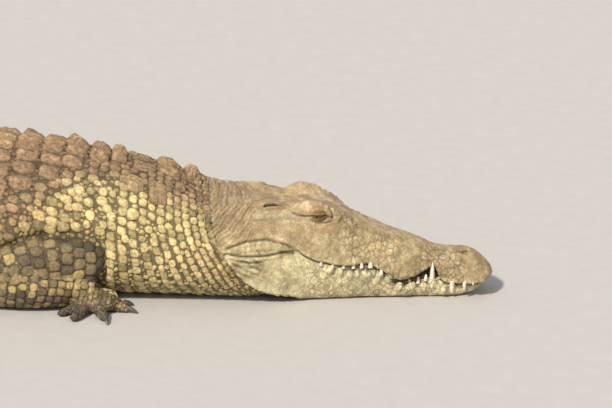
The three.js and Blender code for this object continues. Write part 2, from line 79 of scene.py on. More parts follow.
# ---------------------------------------------------------------- the animal's measures, in millimetres
# u runs back along the spine from the skull table's back edge, x forward from it along the head.
TAIL_END = 3430.0
VENT = 1480.0
heading = curve([[-600, 9], [0, 9], [120, 8], [320, 2], [600, -1], [1000, -2], [1350, 0], [1550, 5],
                 [1800, 9], [2100, 0], [2400, -18], [2700, -34], [3000, -42], [3250, -38], [3430, -28]])
# u, half width, top, height of the widest level, power of the outline
BODY = [[-60, 132, 205, 112, 2.1], [-20, 140, 212, 112, 2.1], [0, 148, 217, 108, 2.1],
        [60, 158, 232, 106, 2.1], [150, 162, 258, 108, 2.1], [250, 172, 284, 112, 2.15],
        [380, 198, 302, 116, 2.2], [550, 240, 308, 120, 2.25], [800, 268, 311, 122, 2.3],
        [1000, 268, 306, 122, 2.3], [1200, 238, 290, 118, 2.2], [1350, 200, 275, 112, 2.15],
        [1480, 172, 258, 106, 2.1], [1600, 150, 244, 100, 2.05], [1800, 122, 224, 92, 2.0],
        [2100, 90, 196, 82, 1.9], [2400, 66, 166, 72, 1.85], [2700, 46, 134, 60, 1.8],
        [3000, 31, 100, 46, 1.8], [3250, 19, 66, 32, 1.9], [3400, 10, 34, 16, 2.0], [3430, 5, 20, 9, 2.0]]
half_width, top_up, side_up, square_of = (curve(BODY, column) for column in (1, 2, 3, 4))
belly_flat = curve([[-60, 0.5], [0, 0.5], [150, 0.4], [265, 0.36], [450, 0.45], [800, 0.62], [1200, 0.6],
                    [1480, 0.5], [3430, 0.5]])
# how far down the side the big plates and the back's brown reach
edge_of = curve([[298, 36], [331, 64], [372, 88], [396, 106], [448, 156], [488, 186], [524, 208],
                 [800, 234], [1050, 226], [1200, 210], [1350, 166], [1480, 104]])
back_edge = curve([[-60, 120], [100, 98], [200, 82], [300, 82], [372, 95], [448, 150], [524, 188],
                   [800, 212], [1200, 190], [1480, 110], [3430, 20]])
row_length = curve([[265, 47], [500, 57], [800, 74], [1200, 76], [1480, 64], [2200, 56], [3430, 42]])
FIRST_ROW = 331.0
LAST_ROW = 3400.0
crest_of = curve([[1480, 16], [1800, 30], [2200, 46], [2480, 56], [2800, 50], [3100, 38], [3430, 12]])
CREST_JOIN = 2380.0
EYE = {"forward": 142.0, "out": 68.0, "up": 186.0}
BALL = 18.0  # the eyeball's radius
BALL_UP = EYE["up"] + 2.0

# the head's long lines by x: how far out and how high up they run
top_of = curve([[-90, 232], [-30, 219], [10, 213], [60, 207], [100, 203], [130, 201], [160, 198],
                [190, 190], [215, 181], [250, 168], [283, 155], [311, 145], [346, 132], [369, 127],
                [395, 118], [419, 107], [441, 103], [476, 98], [500, 97], [518, 90], [537, 77], [552, 61],
                [560, 45]])
ridge_out = curve([[-90, 92], [-30, 84], [10, 76], [60, 73], [90, 70], [115, 68], [150, 67], [185, 63],
                   [215, 57], [250, 51], [290, 46], [326, 42], [406, 35], [445, 32], [500, 34], [540, 22],
                   [560, 0]])
ridge_up = curve([[-90, 224], [-40, 216], [0, 218], [30, 219], [64, 212], [85, 207], [100, 217],
                  [120, 225], [140, 221], [165, 208], [187, 199], [213, 183], [234, 167], [260, 158],
                  [290, 147], [326, 133], [370, 118], [414, 99], [445, 93], [500, 89], [520, 82],
                  [545, 63], [560, 44]])
under_out = curve([[-90, 128], [0, 92], [40, 87], [80, 84], [115, 84], [143, 84], [165, 82], [200, 78],
                   [240, 72], [280, 69], [320, 68], [355, 66], [392, 56], [420, 46], [445, 50], [500, 52],
                   [540, 37], [560, 0]])
under_up = curve([[-90, 194], [0, 191], [80, 188], [115, 187], [143, 188], [165, 182], [200, 160],
                  [240, 135], [280, 118], [320, 106], [355, 97], [392, 89], [422, 80], [448, 70],
                  [500, 66], [540, 58], [560, 43]])
cheek_out = curve([[-90, 155], [0, 128], [50, 120], [100, 112], [143, 103], [200, 92], [240, 85],
                   [280, 80], [320, 80], [355, 78], [392, 61], [420, 52], [448, 58], [500, 62], [540, 45],
                   [560, 0]])
cheek_up = curve([[-90, 150], [0, 152], [50, 154], [100, 149], [143, 136], [200, 114], [240, 106],
                  [280, 99], [320, 82], [355, 70], [392, 76], [420, 76], [445, 48], [500, 46], [540, 44],
                  [560, 42]])
lip_out = curve([[-90, 162], [-50, 150], [0, 140], [50, 130], [100, 119], [150, 108], [200, 98], [240, 90],
                 [280, 84], [320, 82], [355, 80], [380, 72], [402, 61], [418, 54], [430, 55], [450, 60],
                 [475, 64], [500, 64], [520, 59], [538, 48], [550, 34], [557, 18], [560, 0]])
lip_up = curve([[-90, 108], [0, 120], [70, 126], [95, 124], [110, 112], [126, 103], [147, 94], [173, 88],
                [196, 84], [228, 82], [244, 85], [264, 86], [276, 76], [297, 68], [322, 51], [345, 47],
                [365, 52], [385, 60], [406, 69], [416, 70], [426, 52], [438, 39], [450, 36], [491, 35],
                [527, 38], [560, 41]])
JAW_TIP = 538.0
jaw_out = curve([[-90, 162], [-50, 149], [0, 139], [50, 129], [100, 118], [150, 106], [200, 95], [240, 87],
                 [280, 80], [320, 73], [350, 67], [380, 63], [406, 60], [424, 59], [440, 57], [465, 53],
                 [490, 49], [508, 43], [523, 33], [533, 19], [JAW_TIP, 0]])
jaw_up = curve([[-90, 107.6], [0, 119.6], [70, 125.6], [95, 123], [110, 110], [126, 101], [147, 92],
                [173, 86], [196, 82], [228, 80], [244, 82], [264, 83], [276, 73], [297, 64], [322, 45],
                [347, 36], [370, 37], [393, 44], [408, 47], [418, 48], [428, 40], [446, 32], [467, 29],
                [510, 28], [JAW_TIP, 29]])
jaw_under = curve([[-90, 0], [465, 0], [500, 7], [525, 17], [JAW_TIP, 25]])
# where the head ends and the neck's skin begins: heights, and x at each
RIM_UP = [13, 24, 36, 55, 75, 104, 124, 150, 173, 195]
RIM_AT = [110, 46, 13, -17, -36, -58, -73, -92, -100, -106]

# joints as u, out, up and two radii; digits as turn in degrees, length and radius
FORELEG = {"upper": [[352, 136, 104, 70, 74], [440, 172, 104, 70, 70], [552, 210, 70, 62, 62]],
           "lower": [[556, 214, 58, 57, 56], [455, 206, 55, 55, 54], [350, 168, 37, 41, 37]],
           "palm": [325, 188, 21, 42, 24],
           "digits": [[-22, 66, 11], [8, 72, 12], [68, 80, 12], [110, 98, 11], [134, 92, 10]], "web": 0.0}
HINDLEG = {"upper": [[1360, 86, 150, 112, 118], [1270, 186, 128, 92, 98], [1180, 266, 94, 64, 72]],
           "lower": [[1180, 266, 88, 62, 68], [1262, 318, 68, 55, 60], [1345, 356, 40, 40, 40]],
           "palm": [1290, 390, 20, 52, 22],
           "digits": [[-4, 150, 14], [14, 176, 14], [32, 182, 13], [50, 160, 12]], "web": 0.62}
LEFT_AHEAD = {"fore": 35.0, "hind": -40.0}
CLAW = {"length": 30.0, "radius": 6.0, "root": 0.75}
CLAWED = 3
FLESH = 2.5       # how deep the skin lies under the solids' surface on the body, which the scales make up
FLESH_HEAD = 0.6
SOLE = 0.6        # how far the skin stays above the floor
SCALE_SOLE = 0.3


def rim_at(up):
    return np.interp(up, RIM_UP, RIM_AT)


def mouth_line(x):
    return (lip_up(x) + jaw_up(x)) / 2


# ---------------------------------------------------------------- places along the bent spine
STEP = 10.0
SPINE_U = np.arange(0, TAIL_END + 2 * STEP, STEP)
turns = np.radians(heading(SPINE_U[1:] - STEP / 2))
SPINE_X = np.concatenate([[0], -np.cumsum(STEP * np.cos(turns))])
SPINE_Y = np.concatenate([[0], -np.cumsum(STEP * np.sin(turns))])
HEAD_REACH = 620  # how far ahead of u = 0 the animal can be
ROUNDS = 12       # of the search for u


def place_flat(u, out, up):
    """Head frame millimetres: u along the spine, out to the left, up above the ground."""
    u, out, up = np.broadcast_arrays(*(np.asarray(q, float) for q in (u, out, up)))
    h = np.radians(heading(u))
    x = np.where(u > 0, np.interp(u, SPINE_U, SPINE_X), -u * np.cos(h))
    y = np.where(u > 0, np.interp(u, SPINE_U, SPINE_Y), -u * np.sin(h))
    return np.stack([x - out * np.sin(h), y + out * np.cos(h), up], -1)


eye_low, eye_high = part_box("eye_right")
eye_middle = (np.array(eye_low) + np.array(eye_high)) / 2 / MM
SHIFT = eye_middle - place_flat(-EYE["forward"], -EYE["out"], EYE["up"])
SHIFT[2] = 0.0


def place(u, out, up):
    """Metres in the shared frame."""
    return (place_flat(u, out, up) + SHIFT) * MM


def unplace(points):
    """u, out and up in millimetres of points in metres."""
    p = points / MM - SHIFT

    def off_spine(u):
        here = place_flat(u, 0, 0)
        return p[:, 0] - here[:, 0], p[:, 1] - here[:, 1], np.radians(heading(u))
    u = -p[:, 0]
    for _ in range(ROUNDS):
        dx, dy, h = off_spine(u)
        u = np.clip(u - (dx * np.cos(h) + dy * np.sin(h)) * 0.9, -HEAD_REACH, TAIL_END + 5)
    dx, dy, h = off_spine(u)
    return u, -dx * np.sin(h) + dy * np.cos(h), p[:, 2]


# ---------------------------------------------------------------- the body's outline
SIDE_POINTS = 121
BODY_START = -60
GRID_STEP = 6.0


def section(u):
    """The outline's half width, top, widest level, power and how far its bottom lies under the floor."""
    side, n = side_up(u), square_of(u)
    return half_width(u), top_up(u), side, n, side * ((1 - belly_flat(u) ** n) ** (-1 / n) - 1)


def section_at(u, up):
    """The outline's half width and power, and how far a height is from the widest level, 0 to 1."""
    half, top, side, n, sink = section(u)
    return half, n, np.where(up >= side, (up - side) / (top - side), (side - up) / (side + sink))


def body_out_at(u, up):
    """The body's half width in millimetres at a height."""
    half, n, rise = section_at(np.maximum(u, BODY_START), up)
    return half * np.clip(1 - np.clip(rise, 0, 1) ** n, 0, 1) ** (1 / n)


def off_body(u, out, up):
    """Signed distance in millimetres to the body's outline, as if it were round."""
    half, n, rise = section_at(np.maximum(u, BODY_START), up)
    return ((np.abs(out / half) ** n + np.abs(rise) ** n) ** (1 / n) - 1) * half


def body_half(u, inset=0.0):
    """Half outlines from the back's middle to the belly's: arrays [len(u), SIDE_POINTS] of out and up."""
    u = np.asarray(u, float)[:, None]
    a = np.radians(np.linspace(90, -90, SIDE_POINTS))[None]
    half, top, side, n, sink = section(u)
    lowered = inset * (1 + 1.1 * smoothstep(150, 330, u) * smoothstep(1700, 1400, u))
    reach = np.where(a >= 0, top - lowered - side, side + sink - inset * 0.3)
    out = (half - inset) * np.abs(np.cos(a)) ** (2 / n)
    up = side + np.sign(a) * reach * np.abs(np.sin(a)) ** (2 / n)
    soft = 5.0  # the belly's edge on the floor is rounded by this
    up = 0.5 * (up + np.sqrt(up ** 2 + soft ** 2))
    return out, up - soft * 0.5 * np.exp(-(up / 14) ** 2) + SOLE


GRID_U = np.arange(BODY_START, TAIL_END - 2, GRID_STEP)
GRID_OUT, GRID_UP = body_half(GRID_U, FLESH)
seg = np.hypot(np.diff(GRID_OUT, axis=1), np.diff(GRID_UP, axis=1))
arc = np.concatenate([np.zeros((len(GRID_U), 1)), np.cumsum(seg, axis=1)], axis=1)
GRID_LENGTH = arc[:, -1]
SHARES = np.linspace(0, 1, SIDE_POINTS)
for i, length in enumerate(GRID_LENGTH):
    share = arc[i] / length
    GRID_OUT[i], GRID_UP[i] = np.interp(SHARES, share, GRID_OUT[i]), np.interp(SHARES, share, GRID_UP[i])


def body_length(u):
    return np.interp(u, GRID_U, GRID_LENGTH)


def body_surface(u, s, side):
    """Points at distance s down the side from the back's middle. Side is 1 left and -1 right."""
    gu = np.clip((u - GRID_U[0]) / GRID_STEP, 0, len(GRID_U) - 1.001)
    i = gu.astype(int)
    t = gu - i
    g = np.clip(np.abs(s) / body_length(u), 0, 1) * (SIDE_POINTS - 1)
    j = np.minimum(g.astype(int), SIDE_POINTS - 2)
    w = g - j

    def pick(grid):
        return ((grid[i, j] * (1 - w) + grid[i, j + 1] * w) * (1 - t)
                + (grid[i + 1, j] * (1 - w) + grid[i + 1, j + 1] * w) * t)
    flip = np.where(s < 0, -1.0, 1.0)
    return place(u, side * flip * pick(GRID_OUT), pick(GRID_UP))


# ---------------------------------------------------------------- mesh helpers
def link(name, content):
    obj = bpy.data.objects.new(name, content)
    bpy.context.scene.collection.objects.link(obj)
    return obj


def make_object(name, verts, faces, smooth=True):
    """An object from a list of polygons or an array of triangles."""
    mesh = bpy.data.meshes.new(name)
    if isinstance(faces, list):
        mesh.from_pydata([tuple(v) for v in verts], [], faces)
    else:
        mesh.vertices.add(len(verts))
        mesh.vertices.foreach_set("co", np.ascontiguousarray(verts, np.float32).ravel())
        mesh.loops.add(len(faces) * 3)
        mesh.loops.foreach_set("vertex_index", np.ascontiguousarray(faces, np.int32).ravel())
        mesh.polygons.add(len(faces))
        mesh.polygons.foreach_set("loop_start", np.arange(0, len(faces) * 3, 3, dtype=np.int32))
        mesh.validate()
    mesh.update()
    if smooth:
        smooth_faces(mesh)
    return link(name, mesh)


def smooth_faces(mesh):
    mesh.polygons.foreach_set("use_smooth", np.ones(len(mesh.polygons), bool))


def values(items, field, width=1, kind=np.int32):
    """One field of all of a mesh's vertices, edges, loops or polygons."""
    got = np.empty(len(items) * width, kind)
    items.foreach_get(field, got)
    return got.reshape(-1, width) if width > 1 else got


def read(obj):
    return values(obj.data.vertices, "co", 3, np.float32).astype(float)


def normals(obj):
    return values(obj.data.vertex_normals, "vector", 3, np.float32).astype(float)


def write(obj, points):
    obj.data.vertices.foreach_set("co", np.ascontiguousarray(points, np.float32).ravel())
    obj.data.update()


def above_floor(points, gap):
    """Points no lower than a gap in millimetres above the floor."""
    points[..., 2] = np.maximum(points[..., 2], gap * MM)
    return points


def tube_faces(rings, count):
    """Quads over rings of count points, with both ends shut by one polygon."""
    i = np.arange(rings - 1)[:, None] * count
    j = np.arange(count)[None]
    k = (j + 1) % count
    quads = np.stack([i + j, i + k, i + count + k, i + count + j], -1).reshape(-1, 4).tolist()
    quads.append(list(range(count))[::-1])
    quads.append([(rings - 1) * count + q for q in range(count)])
    return quads


def closed(outs, ups, us):
    """Rings round the body from half outlines, as points."""
    left = place(us[:, None], outs, ups)
    right = place(us[:, None], -outs[:, 1:-1][:, ::-1], ups[:, 1:-1][:, ::-1])
    return np.concatenate([left, right], axis=1)


def catmull_rom(ends, i, t):
    """Smooth curves between points ends[1:-1], at t after the point number i."""
    p0, p1, p2, p3 = (ends[..., i + q, :] for q in range(4))
    return 0.5 * (2 * p1 + (p2 - p0) * t + (2 * p0 - 5 * p1 + 4 * p2 - p3) * t ** 2
                  + (3 * p1 - 3 * p2 + p3 - p0) * t ** 3)


def half_outline(rows, count):
    """Smooth half outlines [m, count, 2] through rows of (out, up), mirrored past the middle line."""
    points = np.stack([np.stack(row, -1) for row in rows], 1)
    mirror = np.array([-1, 1])
    ends = np.concatenate([points[:, 1:2] * mirror, points, points[:, -2:-1] * mirror], 1)
    t = np.linspace(0, len(rows) - 1 - 1e-6, count)
    i = t.astype(int)
    return catmull_rom(ends, i, (t - i)[None, :, None])


def head_half(x, inset):
    top, ridge, rise = top_of(x) - inset, ridge_out(x), ridge_up(x) - inset
    lip, low, middle = lip_out(x) - inset, lip_up(x), np.zeros_like(x)
    roll = np.minimum(9.0, (cheek_up(x) - low) * 0.5)
    return half_outline([
        (middle, top), (ridge * 0.5, top + (rise - top) * 0.25), (ridge * 0.95, rise),
        (ridge * 0.45 + under_out(x) * 0.55, (rise + under_up(x)) * 0.5 + 2),
        (under_out(x), under_up(x)), (cheek_out(x) - inset, cheek_up(x)), (lip, low + np.maximum(roll, 2)),
        (lip * 0.955, low), (lip * 0.8, low + 2), (middle, low + 3)], 90)


def jaw_half(x, inset):
    out, up, under, middle = jaw_out(x) - inset, jaw_up(x), jaw_under(x) + SOLE, np.zeros_like(x)

    def at(share):
        return under + (up - under) * share
    return half_outline([
        (middle, up - 3), (out * 0.78, up - 3), (out * 0.95, up - 0.5), (out, at(0.62)),
        (out * 0.975, at(0.3)), (out * 0.86, at(0.06)), (out * 0.6, under), (middle, under)], 70)


def loft_head(half, xs):
    """Rings of the head or the jaw. Behind the rim they shrink into the neck."""
    outs, ups = np.moveaxis(half(xs, FLESH_HEAD), -1, 0)
    behind = smoothstep(-5, 60, rim_at(ups) - xs[:, None])
    body = body_out_at(-xs[:, None], ups) - FLESH
    outs = np.where(outs > body, outs + (body - outs) * behind, outs)
    middle = ups.mean(1, keepdims=True)
    shrink = (1 - 0.12 * smoothstep(-100, -150, xs))[:, None]
    return closed(outs * shrink, np.maximum(middle + (ups - middle) * shrink, SOLE), -xs)


# ---------------------------------------------------------------- limbs
CAP = 0.8  # how long a limb's round ends are, in radii


def limb_frame(joints):
    """Sampled centres, radii and axes of a limb piece through joints of [x, y, z, across, up] in metres."""
    joints = np.array(joints, float)
    ends = np.concatenate([2 * joints[:1] - joints[1:2], joints, 2 * joints[-1:] - joints[-2:-1]])
    t = np.linspace(0, len(joints) - 1 - 1e-6, 40)
    i = t.astype(int)
    s = catmull_rom(ends, i, (t - i)[:, None])
    centre, radii = s[:, :3], s[:, 3:]
    along = np.gradient(centre, axis=0)
    length = np.concatenate([[0], np.cumsum(np.linalg.norm(np.diff(centre, axis=0), axis=1))])
    along /= np.linalg.norm(along, axis=1)[:, None]
    across = np.cross([0, 0, 1.0], along)
    across /= np.linalg.norm(across, axis=1)[:, None]
    return {"centre": centre, "radii": radii, "along": along, "across": across, "upward": np.cross(along, across),
            "length": length}


def limb_point(fr, a, theta):
    """The point at distance a along a limb piece and angle theta round it. Past its ends it rounds off."""
    inner = np.clip(a, 0, fr["length"][-1])

    def pick(key):
        return np.stack([np.interp(inner, fr["length"], column) for column in fr[key].T], -1)
    centre, radii, along, across, upward = (pick(k) for k in ("centre", "radii", "along", "across", "upward"))
    beyond = (a - inner) / (radii[:, 0] * CAP)
    round_off = np.sqrt(np.clip(1 - beyond ** 2, 0, 1))
    return (centre + along * (a - inner)[:, None]
            + across * (radii[:, 0] * round_off * np.cos(theta))[:, None]
            + upward * (radii[:, 1] * round_off * np.sin(theta))[:, None])


def limb_mesh(fr, sides=40, rings=44):
    """A limb piece's points and faces, its rings closer together near the ends."""
    total = fr["length"][-1]
    first, last = fr["radii"][0, 0] * CAP, fr["radii"][-1, 0] * CAP
    t = np.linspace(-1, 1, rings)
    even = (t + 1) / 2 * (total + first + last) - first
    cap = np.sin(np.linspace(-np.pi / 2, np.pi / 2, rings))
    a = 0.35 * ((cap + 1) / 2 * (total + first + last) - first) + 0.65 * even
    a[0], a[-1] = -first * 0.998, total + last * 0.998
    th = np.linspace(0, 2 * np.pi, sides, endpoint=False)
    aa, tt = np.meshgrid(a, th, indexing="ij")
    return limb_point(fr, aa.ravel(), tt.ravel()), tube_faces(rings, sides)


def leg_parts(leg, ahead, side):
    """A leg's pieces, its digits and its palm's joint."""
    def joint(row, inset=FLESH):
        u, out, up, across, high = row
        return [*place(u - ahead, side * out, up), (across - inset) * MM, (high - inset) * MM]
    palm = joint(leg["palm"], 1.0)
    x, y, z, wide, high = palm
    half_palm = 0.022
    pieces = {"upper": limb_frame([joint(r) for r in leg["upper"]]),
              "lower": limb_frame([joint(r) for r in leg["lower"]]),
              "palm": limb_frame([[x - half_palm, y, z, wide * 0.8, high],
                                  [x + half_palm, y, z, wide, high * 0.9]])}
    digits = []
    for turn, length, radius in leg["digits"]:
        a = math.radians(turn * side)
        d = np.array([math.cos(a), math.sin(a), 0.0])
        r = (radius - 0.8) * MM

        def at(part, up):
            return np.array([x, y, 0]) + d * length * MM * part + np.array([0, 0, up])
        # share of the digit's length, then height, width and thickness as shares of its radius
        rows = [[*at(part, r * up), r * broad, r * thick] for part, up, broad, thick in (
            (0.1, 1.2, 1.3, 1.2), (0.4, 1.15, 1.08, 1.1), (0.7, 1.05, 1.1, 1.05), (1.0, 0.75, 0.78, 0.8))]
        digits.append({"frame": limb_frame(rows), "direction": d, "tip": at(1.0, radius * MM * CLAW["root"])})
    return pieces, digits, palm


def web_between(d, e, palm, reach):
    """The web between two digits, as a flat limb piece."""
    base = np.array([palm[0], palm[1], 0])
    rows = []
    for share in (0.15, reach * 0.8):
        a, b = (base + (q["frame"]["centre"][-1] - base) * share for q in (d, e))
        m = (a + b) / 2
        rows.append([m[0], m[1], 0.008, np.linalg.norm((a - b)[:2]) / 2 + 0.002, 0.0055])
    return limb_frame(rows)


legs = {}
for side, ahead_of in ((-1, {"fore": 0.0, "hind": 0.0}), (1, LEFT_AHEAD)):
    for kind, leg in (("fore", FORELEG), ("hind", HINDLEG)):
        legs[kind, side] = (leg["web"], *leg_parts(leg, ahead_of[kind], side))

# ---------------------------------------------------------------- one closed skin over the whole animal
vert_sets, face_sets = [], []


def add_flesh(points, faces):
    offset = sum(len(v) for v in vert_sets)
    vert_sets.append(points.reshape(-1, 3))
    face_sets.extend([[q + offset for q in f] for f in faces])


body_us = np.concatenate([np.arange(-58, 200, 6.0), np.arange(200, TAIL_END - 2, 9.0)])
add_flesh(closed(*body_half(body_us, FLESH), body_us), tube_faces(len(body_us), 2 * SIDE_POINTS - 2))
for half, fine_from, end in ((head_half, 520, 559.2), (jaw_half, 500, JAW_TIP - 0.5)):
    xs = np.concatenate([np.arange(-150, fine_from, 4.0), np.arange(fine_from, end, 1.5)])
    rings = loft_head(half, xs)
    add_flesh(rings, tube_faces(len(xs), rings.shape[1]))
for web, pieces, digits, palm in legs.values():
    for fr in [*pieces.values(), *(d["frame"] for d in digits)]:
        add_flesh(*limb_mesh(fr))
    if web:
        for d, e in zip(digits, digits[1:]):
            add_flesh(*limb_mesh(web_between(d, e, palm, web), 20, 20))

skin = make_object("hide", np.concatenate(vert_sets), face_sets)
remesh = skin.modifiers.new("one_skin", "REMESH")
remesh.mode = "VOXEL"
remesh.voxel_size = 0.0045


def settle(obj):
    """Applies an object's modifiers."""
    depsgraph = bpy.context.evaluated_depsgraph_get()
    mesh = bpy.data.meshes.new_from_object(obj.evaluated_get(depsgraph))
    old = obj.data
    obj.modifiers.clear()
    obj.data = mesh
    bpy.data.meshes.remove(old)


def relax(obj, rounds, weight):
    """Evens the surface out, by weight per vertex."""
    a, b = values(obj.data.edges, "vertices", 2).T
    pts = read(obj)
    n = len(pts)
    count = np.maximum(np.bincount(a, minlength=n) + np.bincount(b, minlength=n), 1)
    for k in range(rounds):
        mean = np.stack([np.bincount(a, pts[b, c], n) + np.bincount(b, pts[a, c], n) for c in range(3)], 1)
        mean /= count[:, None]
        factor = 0.6 if k % 2 == 0 else -0.55
        pts = pts + (mean - pts) * (factor * weight)[:, None]
    write(obj, above_floor(pts, SOLE))


def refine(obj, chosen):
    """Splits the faces whose corners are all chosen."""
    bm = bmesh.new()
    bm.from_mesh(obj.data)
    flags = chosen.tolist()
    for v in bm.verts:
        v.tag = flags[v.index]
    edges = [e for e in bm.edges if e.verts[0].tag and e.verts[1].tag]
    bmesh.ops.subdivide_edges(bm, edges=edges, cuts=1, use_grid_fill=True)
    bm.to_mesh(obj.data)
    bm.free()
    obj.data.update()


def skin_places():
    """u, x, distance from the middle line and height of the skin's points, in millimetres."""
    u, out, up = unplace(read(skin))
    return u, -u, np.abs(out), up


def from_eye(x, up):
    return np.hypot(x - EYE["forward"], up - EYE["up"])


settle(skin)
relax(skin, 8, np.ones(len(skin.data.vertices)))
u, x, wide, up = skin_places()
refine(skin, (u < 60) | ((u < 150) & (up > 120)))
relax(skin, 4, (skin_places()[0] < 100).astype(float))
u, x, wide, up = skin_places()
by_mouth = (np.abs(up - mouth_line(x)) < 11) & (x > 70)
by_eye = (from_eye(x, up) < 40) & (wide > 45)
by_ear = (x > 10) & (x < 78) & (np.abs(up - 207) < 10) & (wide > 60)
refine(skin, by_mouth | by_eye | by_ear)
u, x, wide, up = skin_places()
refine(skin, (from_eye(x, up) < 30) & (wide > 50))
u, x, wide, up = skin_places()
relax(skin, 4, ((from_eye(x, up) < 44) & (wide > 40)).astype(float))

# ---------------------------------------------------------------- noise
LATTICE_SIDE = 32
LATTICE = rng.random((LATTICE_SIDE,) * 3)


def noise(points, size):
    """Smooth random values from 0 to 1, about size metres across."""
    q = points / size
    i = np.floor(q).astype(int)
    t = q - i
    t = t * t * (3 - 2 * t)
    value = 0
    for corner in np.ndindex(2, 2, 2):
        near = [np.where(c, t[..., k], 1 - t[..., k]) for k, c in enumerate(corner)]
        at = tuple((i[..., k] + c) % LATTICE_SIDE for k, c in enumerate(corner))
        value = value + near[0] * near[1] * near[2] * LATTICE[at]
    return value


def layered(points, size):
    """Noise of three sizes, from 0 to 1."""
    return (noise(points, size) + 0.5 * noise(points + 3.1, size / 2.1)
            + 0.25 * noise(points + 7.7, size / 4.3)) / 1.75


# ---------------------------------------------------------------- folds, lids, lips and pits of the head
def near_line(x, y, line):
    """Distance to a bent line, and how far along it, 0 to 1."""
    line = np.array(line, float)
    best = np.full(x.shape, 1e9)
    along = np.zeros(x.shape)
    steps = np.hypot(*np.diff(line, axis=0).T)
    start = np.concatenate([[0], np.cumsum(steps)])
    for k, (a, b) in enumerate(zip(line, line[1:])):
        d = b - a
        t = np.clip(((x - a[0]) * d[0] + (y - a[1]) * d[1]) / (d @ d), 0, 1)
        dist = np.hypot(x - a[0] - d[0] * t, y - a[1] - d[1] * t)
        closer = dist < best
        best = np.where(closer, dist, best)
        along = np.where(closer, (start[k] + t * steps[k]) / start[-1], along)
    return best, along


def bell(d, width):
    return np.exp(-(d / width) ** 2)


# lines and pits by x and height
FOLD_UPPER = [[-71, 128], [-56, 137], [-19, 149], [28, 150], [60, 142], [92, 127]]
FOLD_LOWER = [[-71, 127], [-32, 117], [30, 115], [61, 121], [92, 126]]
FOLD_SECOND = [[-62, 116], [-45, 110], [-15, 103], [20, 101]]
JAW_RIM = [[-106, 195], [-100, 173], [-92, 150], [-73, 124], [-58, 104], [-36, 75], [-17, 55], [13, 36], [46, 24],
           [110, 13]]
LENS_RIDGE = [[-71, 127], [0, 133], [40, 132], [92, 127]]
EAR = [[20, 210], [32, 213], [50, 214], [67, 213]]
EAR_FLAP = [[-6, 186], [31, 186], [62, 187], [96, 186]]
EYE_BACK = [[84, 199], [96, 193], [114, 191], [124, 191]]
EYE_CORNER = [[157, 193], [167, 191], [178, 187]]
LID_BELOW = [[118, 184], [130, 178], [146, 175], [162, 177], [177, 182]]
EYE_FRONT = [[166, 207], [174, 198], [178, 184]]
EYE_PITS = [[187, 192, 4], [195, 179, 3.5], [200, 184, 3], [205, 194, 3]]
SLIT = {"forward": 141.0, "up": 190.5, "half": 18.0, "open": 2.1, "sag": 3.0}
NOSTRIL = [[470, 17], [481, 21], [492, 17], [495, 11]]
# teeth as x, length and radius; the roots' swellings as x, height and radius
LOWER_TEETH = [[412, 33, 4.3], [397, 10, 3.3], [380, 10, 3.3], [360, 8, 3.0], [312, 8, 3.2], [292, 9, 3.3],
               [266, 13, 4.3], [246, 8, 3.2], [228, 9, 3.4], [205, 8, 3.2], [180, 7, 3.0], [153, 7, 3.0]]
OUTSIDE_TEETH = (412, 292, 266, 246)
UPPER_TEETH = [[503, 5, 3.0], [484, 18, 4.2], [457, 27, 5.2], [527, 2, 2.6]]
LOWER_ROOTS = [[289, 57, 9], [310, 49, 9], [197, 67, 8], [221, 60, 8], [255, 58, 10], [337, 27, 9],
               [364, 27, 10], [393, 24, 10], [412, 30, 10], [440, 20, 8], [270, 62, 9], [175, 74, 7],
               [236, 60, 8], [350, 20, 8]]
UPPER_ROOTS = [row[0] for row in UPPER_TEETH]
UPPER_ROOTS += [430, 445, 470, 385, 365, 340, 318, 295, 270, 250, 232, 212, 190]
DEEP_NOTCH = (338, 410)   # where the big lower tooth lies, the mouth line follows the jaw's edge

pts = read(skin)
no = normals(skin)
u, out, up = unplace(pts)
x, wide = -u, np.abs(out)
h = np.radians(heading(u))
lateral = np.abs(-no[:, 0] * np.sin(h) + no[:, 1] * np.cos(h))
sideways = smoothstep(0.25, 0.6, lateral)
upward = smoothstep(0.2, 0.6, no[:, 2])
on_head = smoothstep(-125, -95, x)
move = np.zeros(len(pts))       # outward, in millimetres
# painted shade: darkens the hide's colour in grooves, creases, slits and pits, where shade falls
painted_shade = np.ones(len(pts))       # darker in grooves
lid_tone = np.zeros(len(pts))   # the eyelids' brown
pale = np.zeros(len(pts))

# the head's own rough relief, stronger on the snout
rough = smoothstep(110, 200, x) * (1 - 0.5 * smoothstep(500, 560, x))
move += on_head * (layered(pts, 0.022) - 0.5) * (1.0 + 3.2 * rough)
move += on_head * (layered(pts + 5, 0.055) - 0.5) * (1.0 + 2.5 * rough)
move += on_head * (layered(pts * [1, 1, 1.3], 0.009) - 0.5) * 1.3

# mouth line, lips and the roots of the teeth
line = np.where((x > DEEP_NOTCH[0]) & (x < DEEP_NOTCH[1]), jaw_up(x) + 1.0, mouth_line(x) - 0.5)
wander = (noise(pts * [1, 0, 0] + 2.0, 0.012) - 0.5) * 2.4
d = up - line - wander * smoothstep(100, 130, x)
closed_lips = np.where((x > 345) & (x < 404), 0.35, 1.0)
mouth = smoothstep(88, 108, x) * closed_lips * smoothstep(0.05, 0.3, lateral + smoothstep(530, 556, x))
move += mouth * (-6.0 * bell(d, 1.9) + 1.5 * bell(d - 6, 4.0) + 0.9 * bell(d + 6, 3.5))
# painted shade along the mouth line
painted_shade *= 1 - 0.82 * mouth * bell(d, 1.9)
pale = np.maximum(pale, mouth * 0.7 * bell(d - 5, 4))
for root in UPPER_ROOTS:
    move += sideways * bell(np.hypot((x - root) / 1.1, (up - lip_up(root) - 9)), 8.5) * 2.0
roots_near = np.zeros(len(pts))
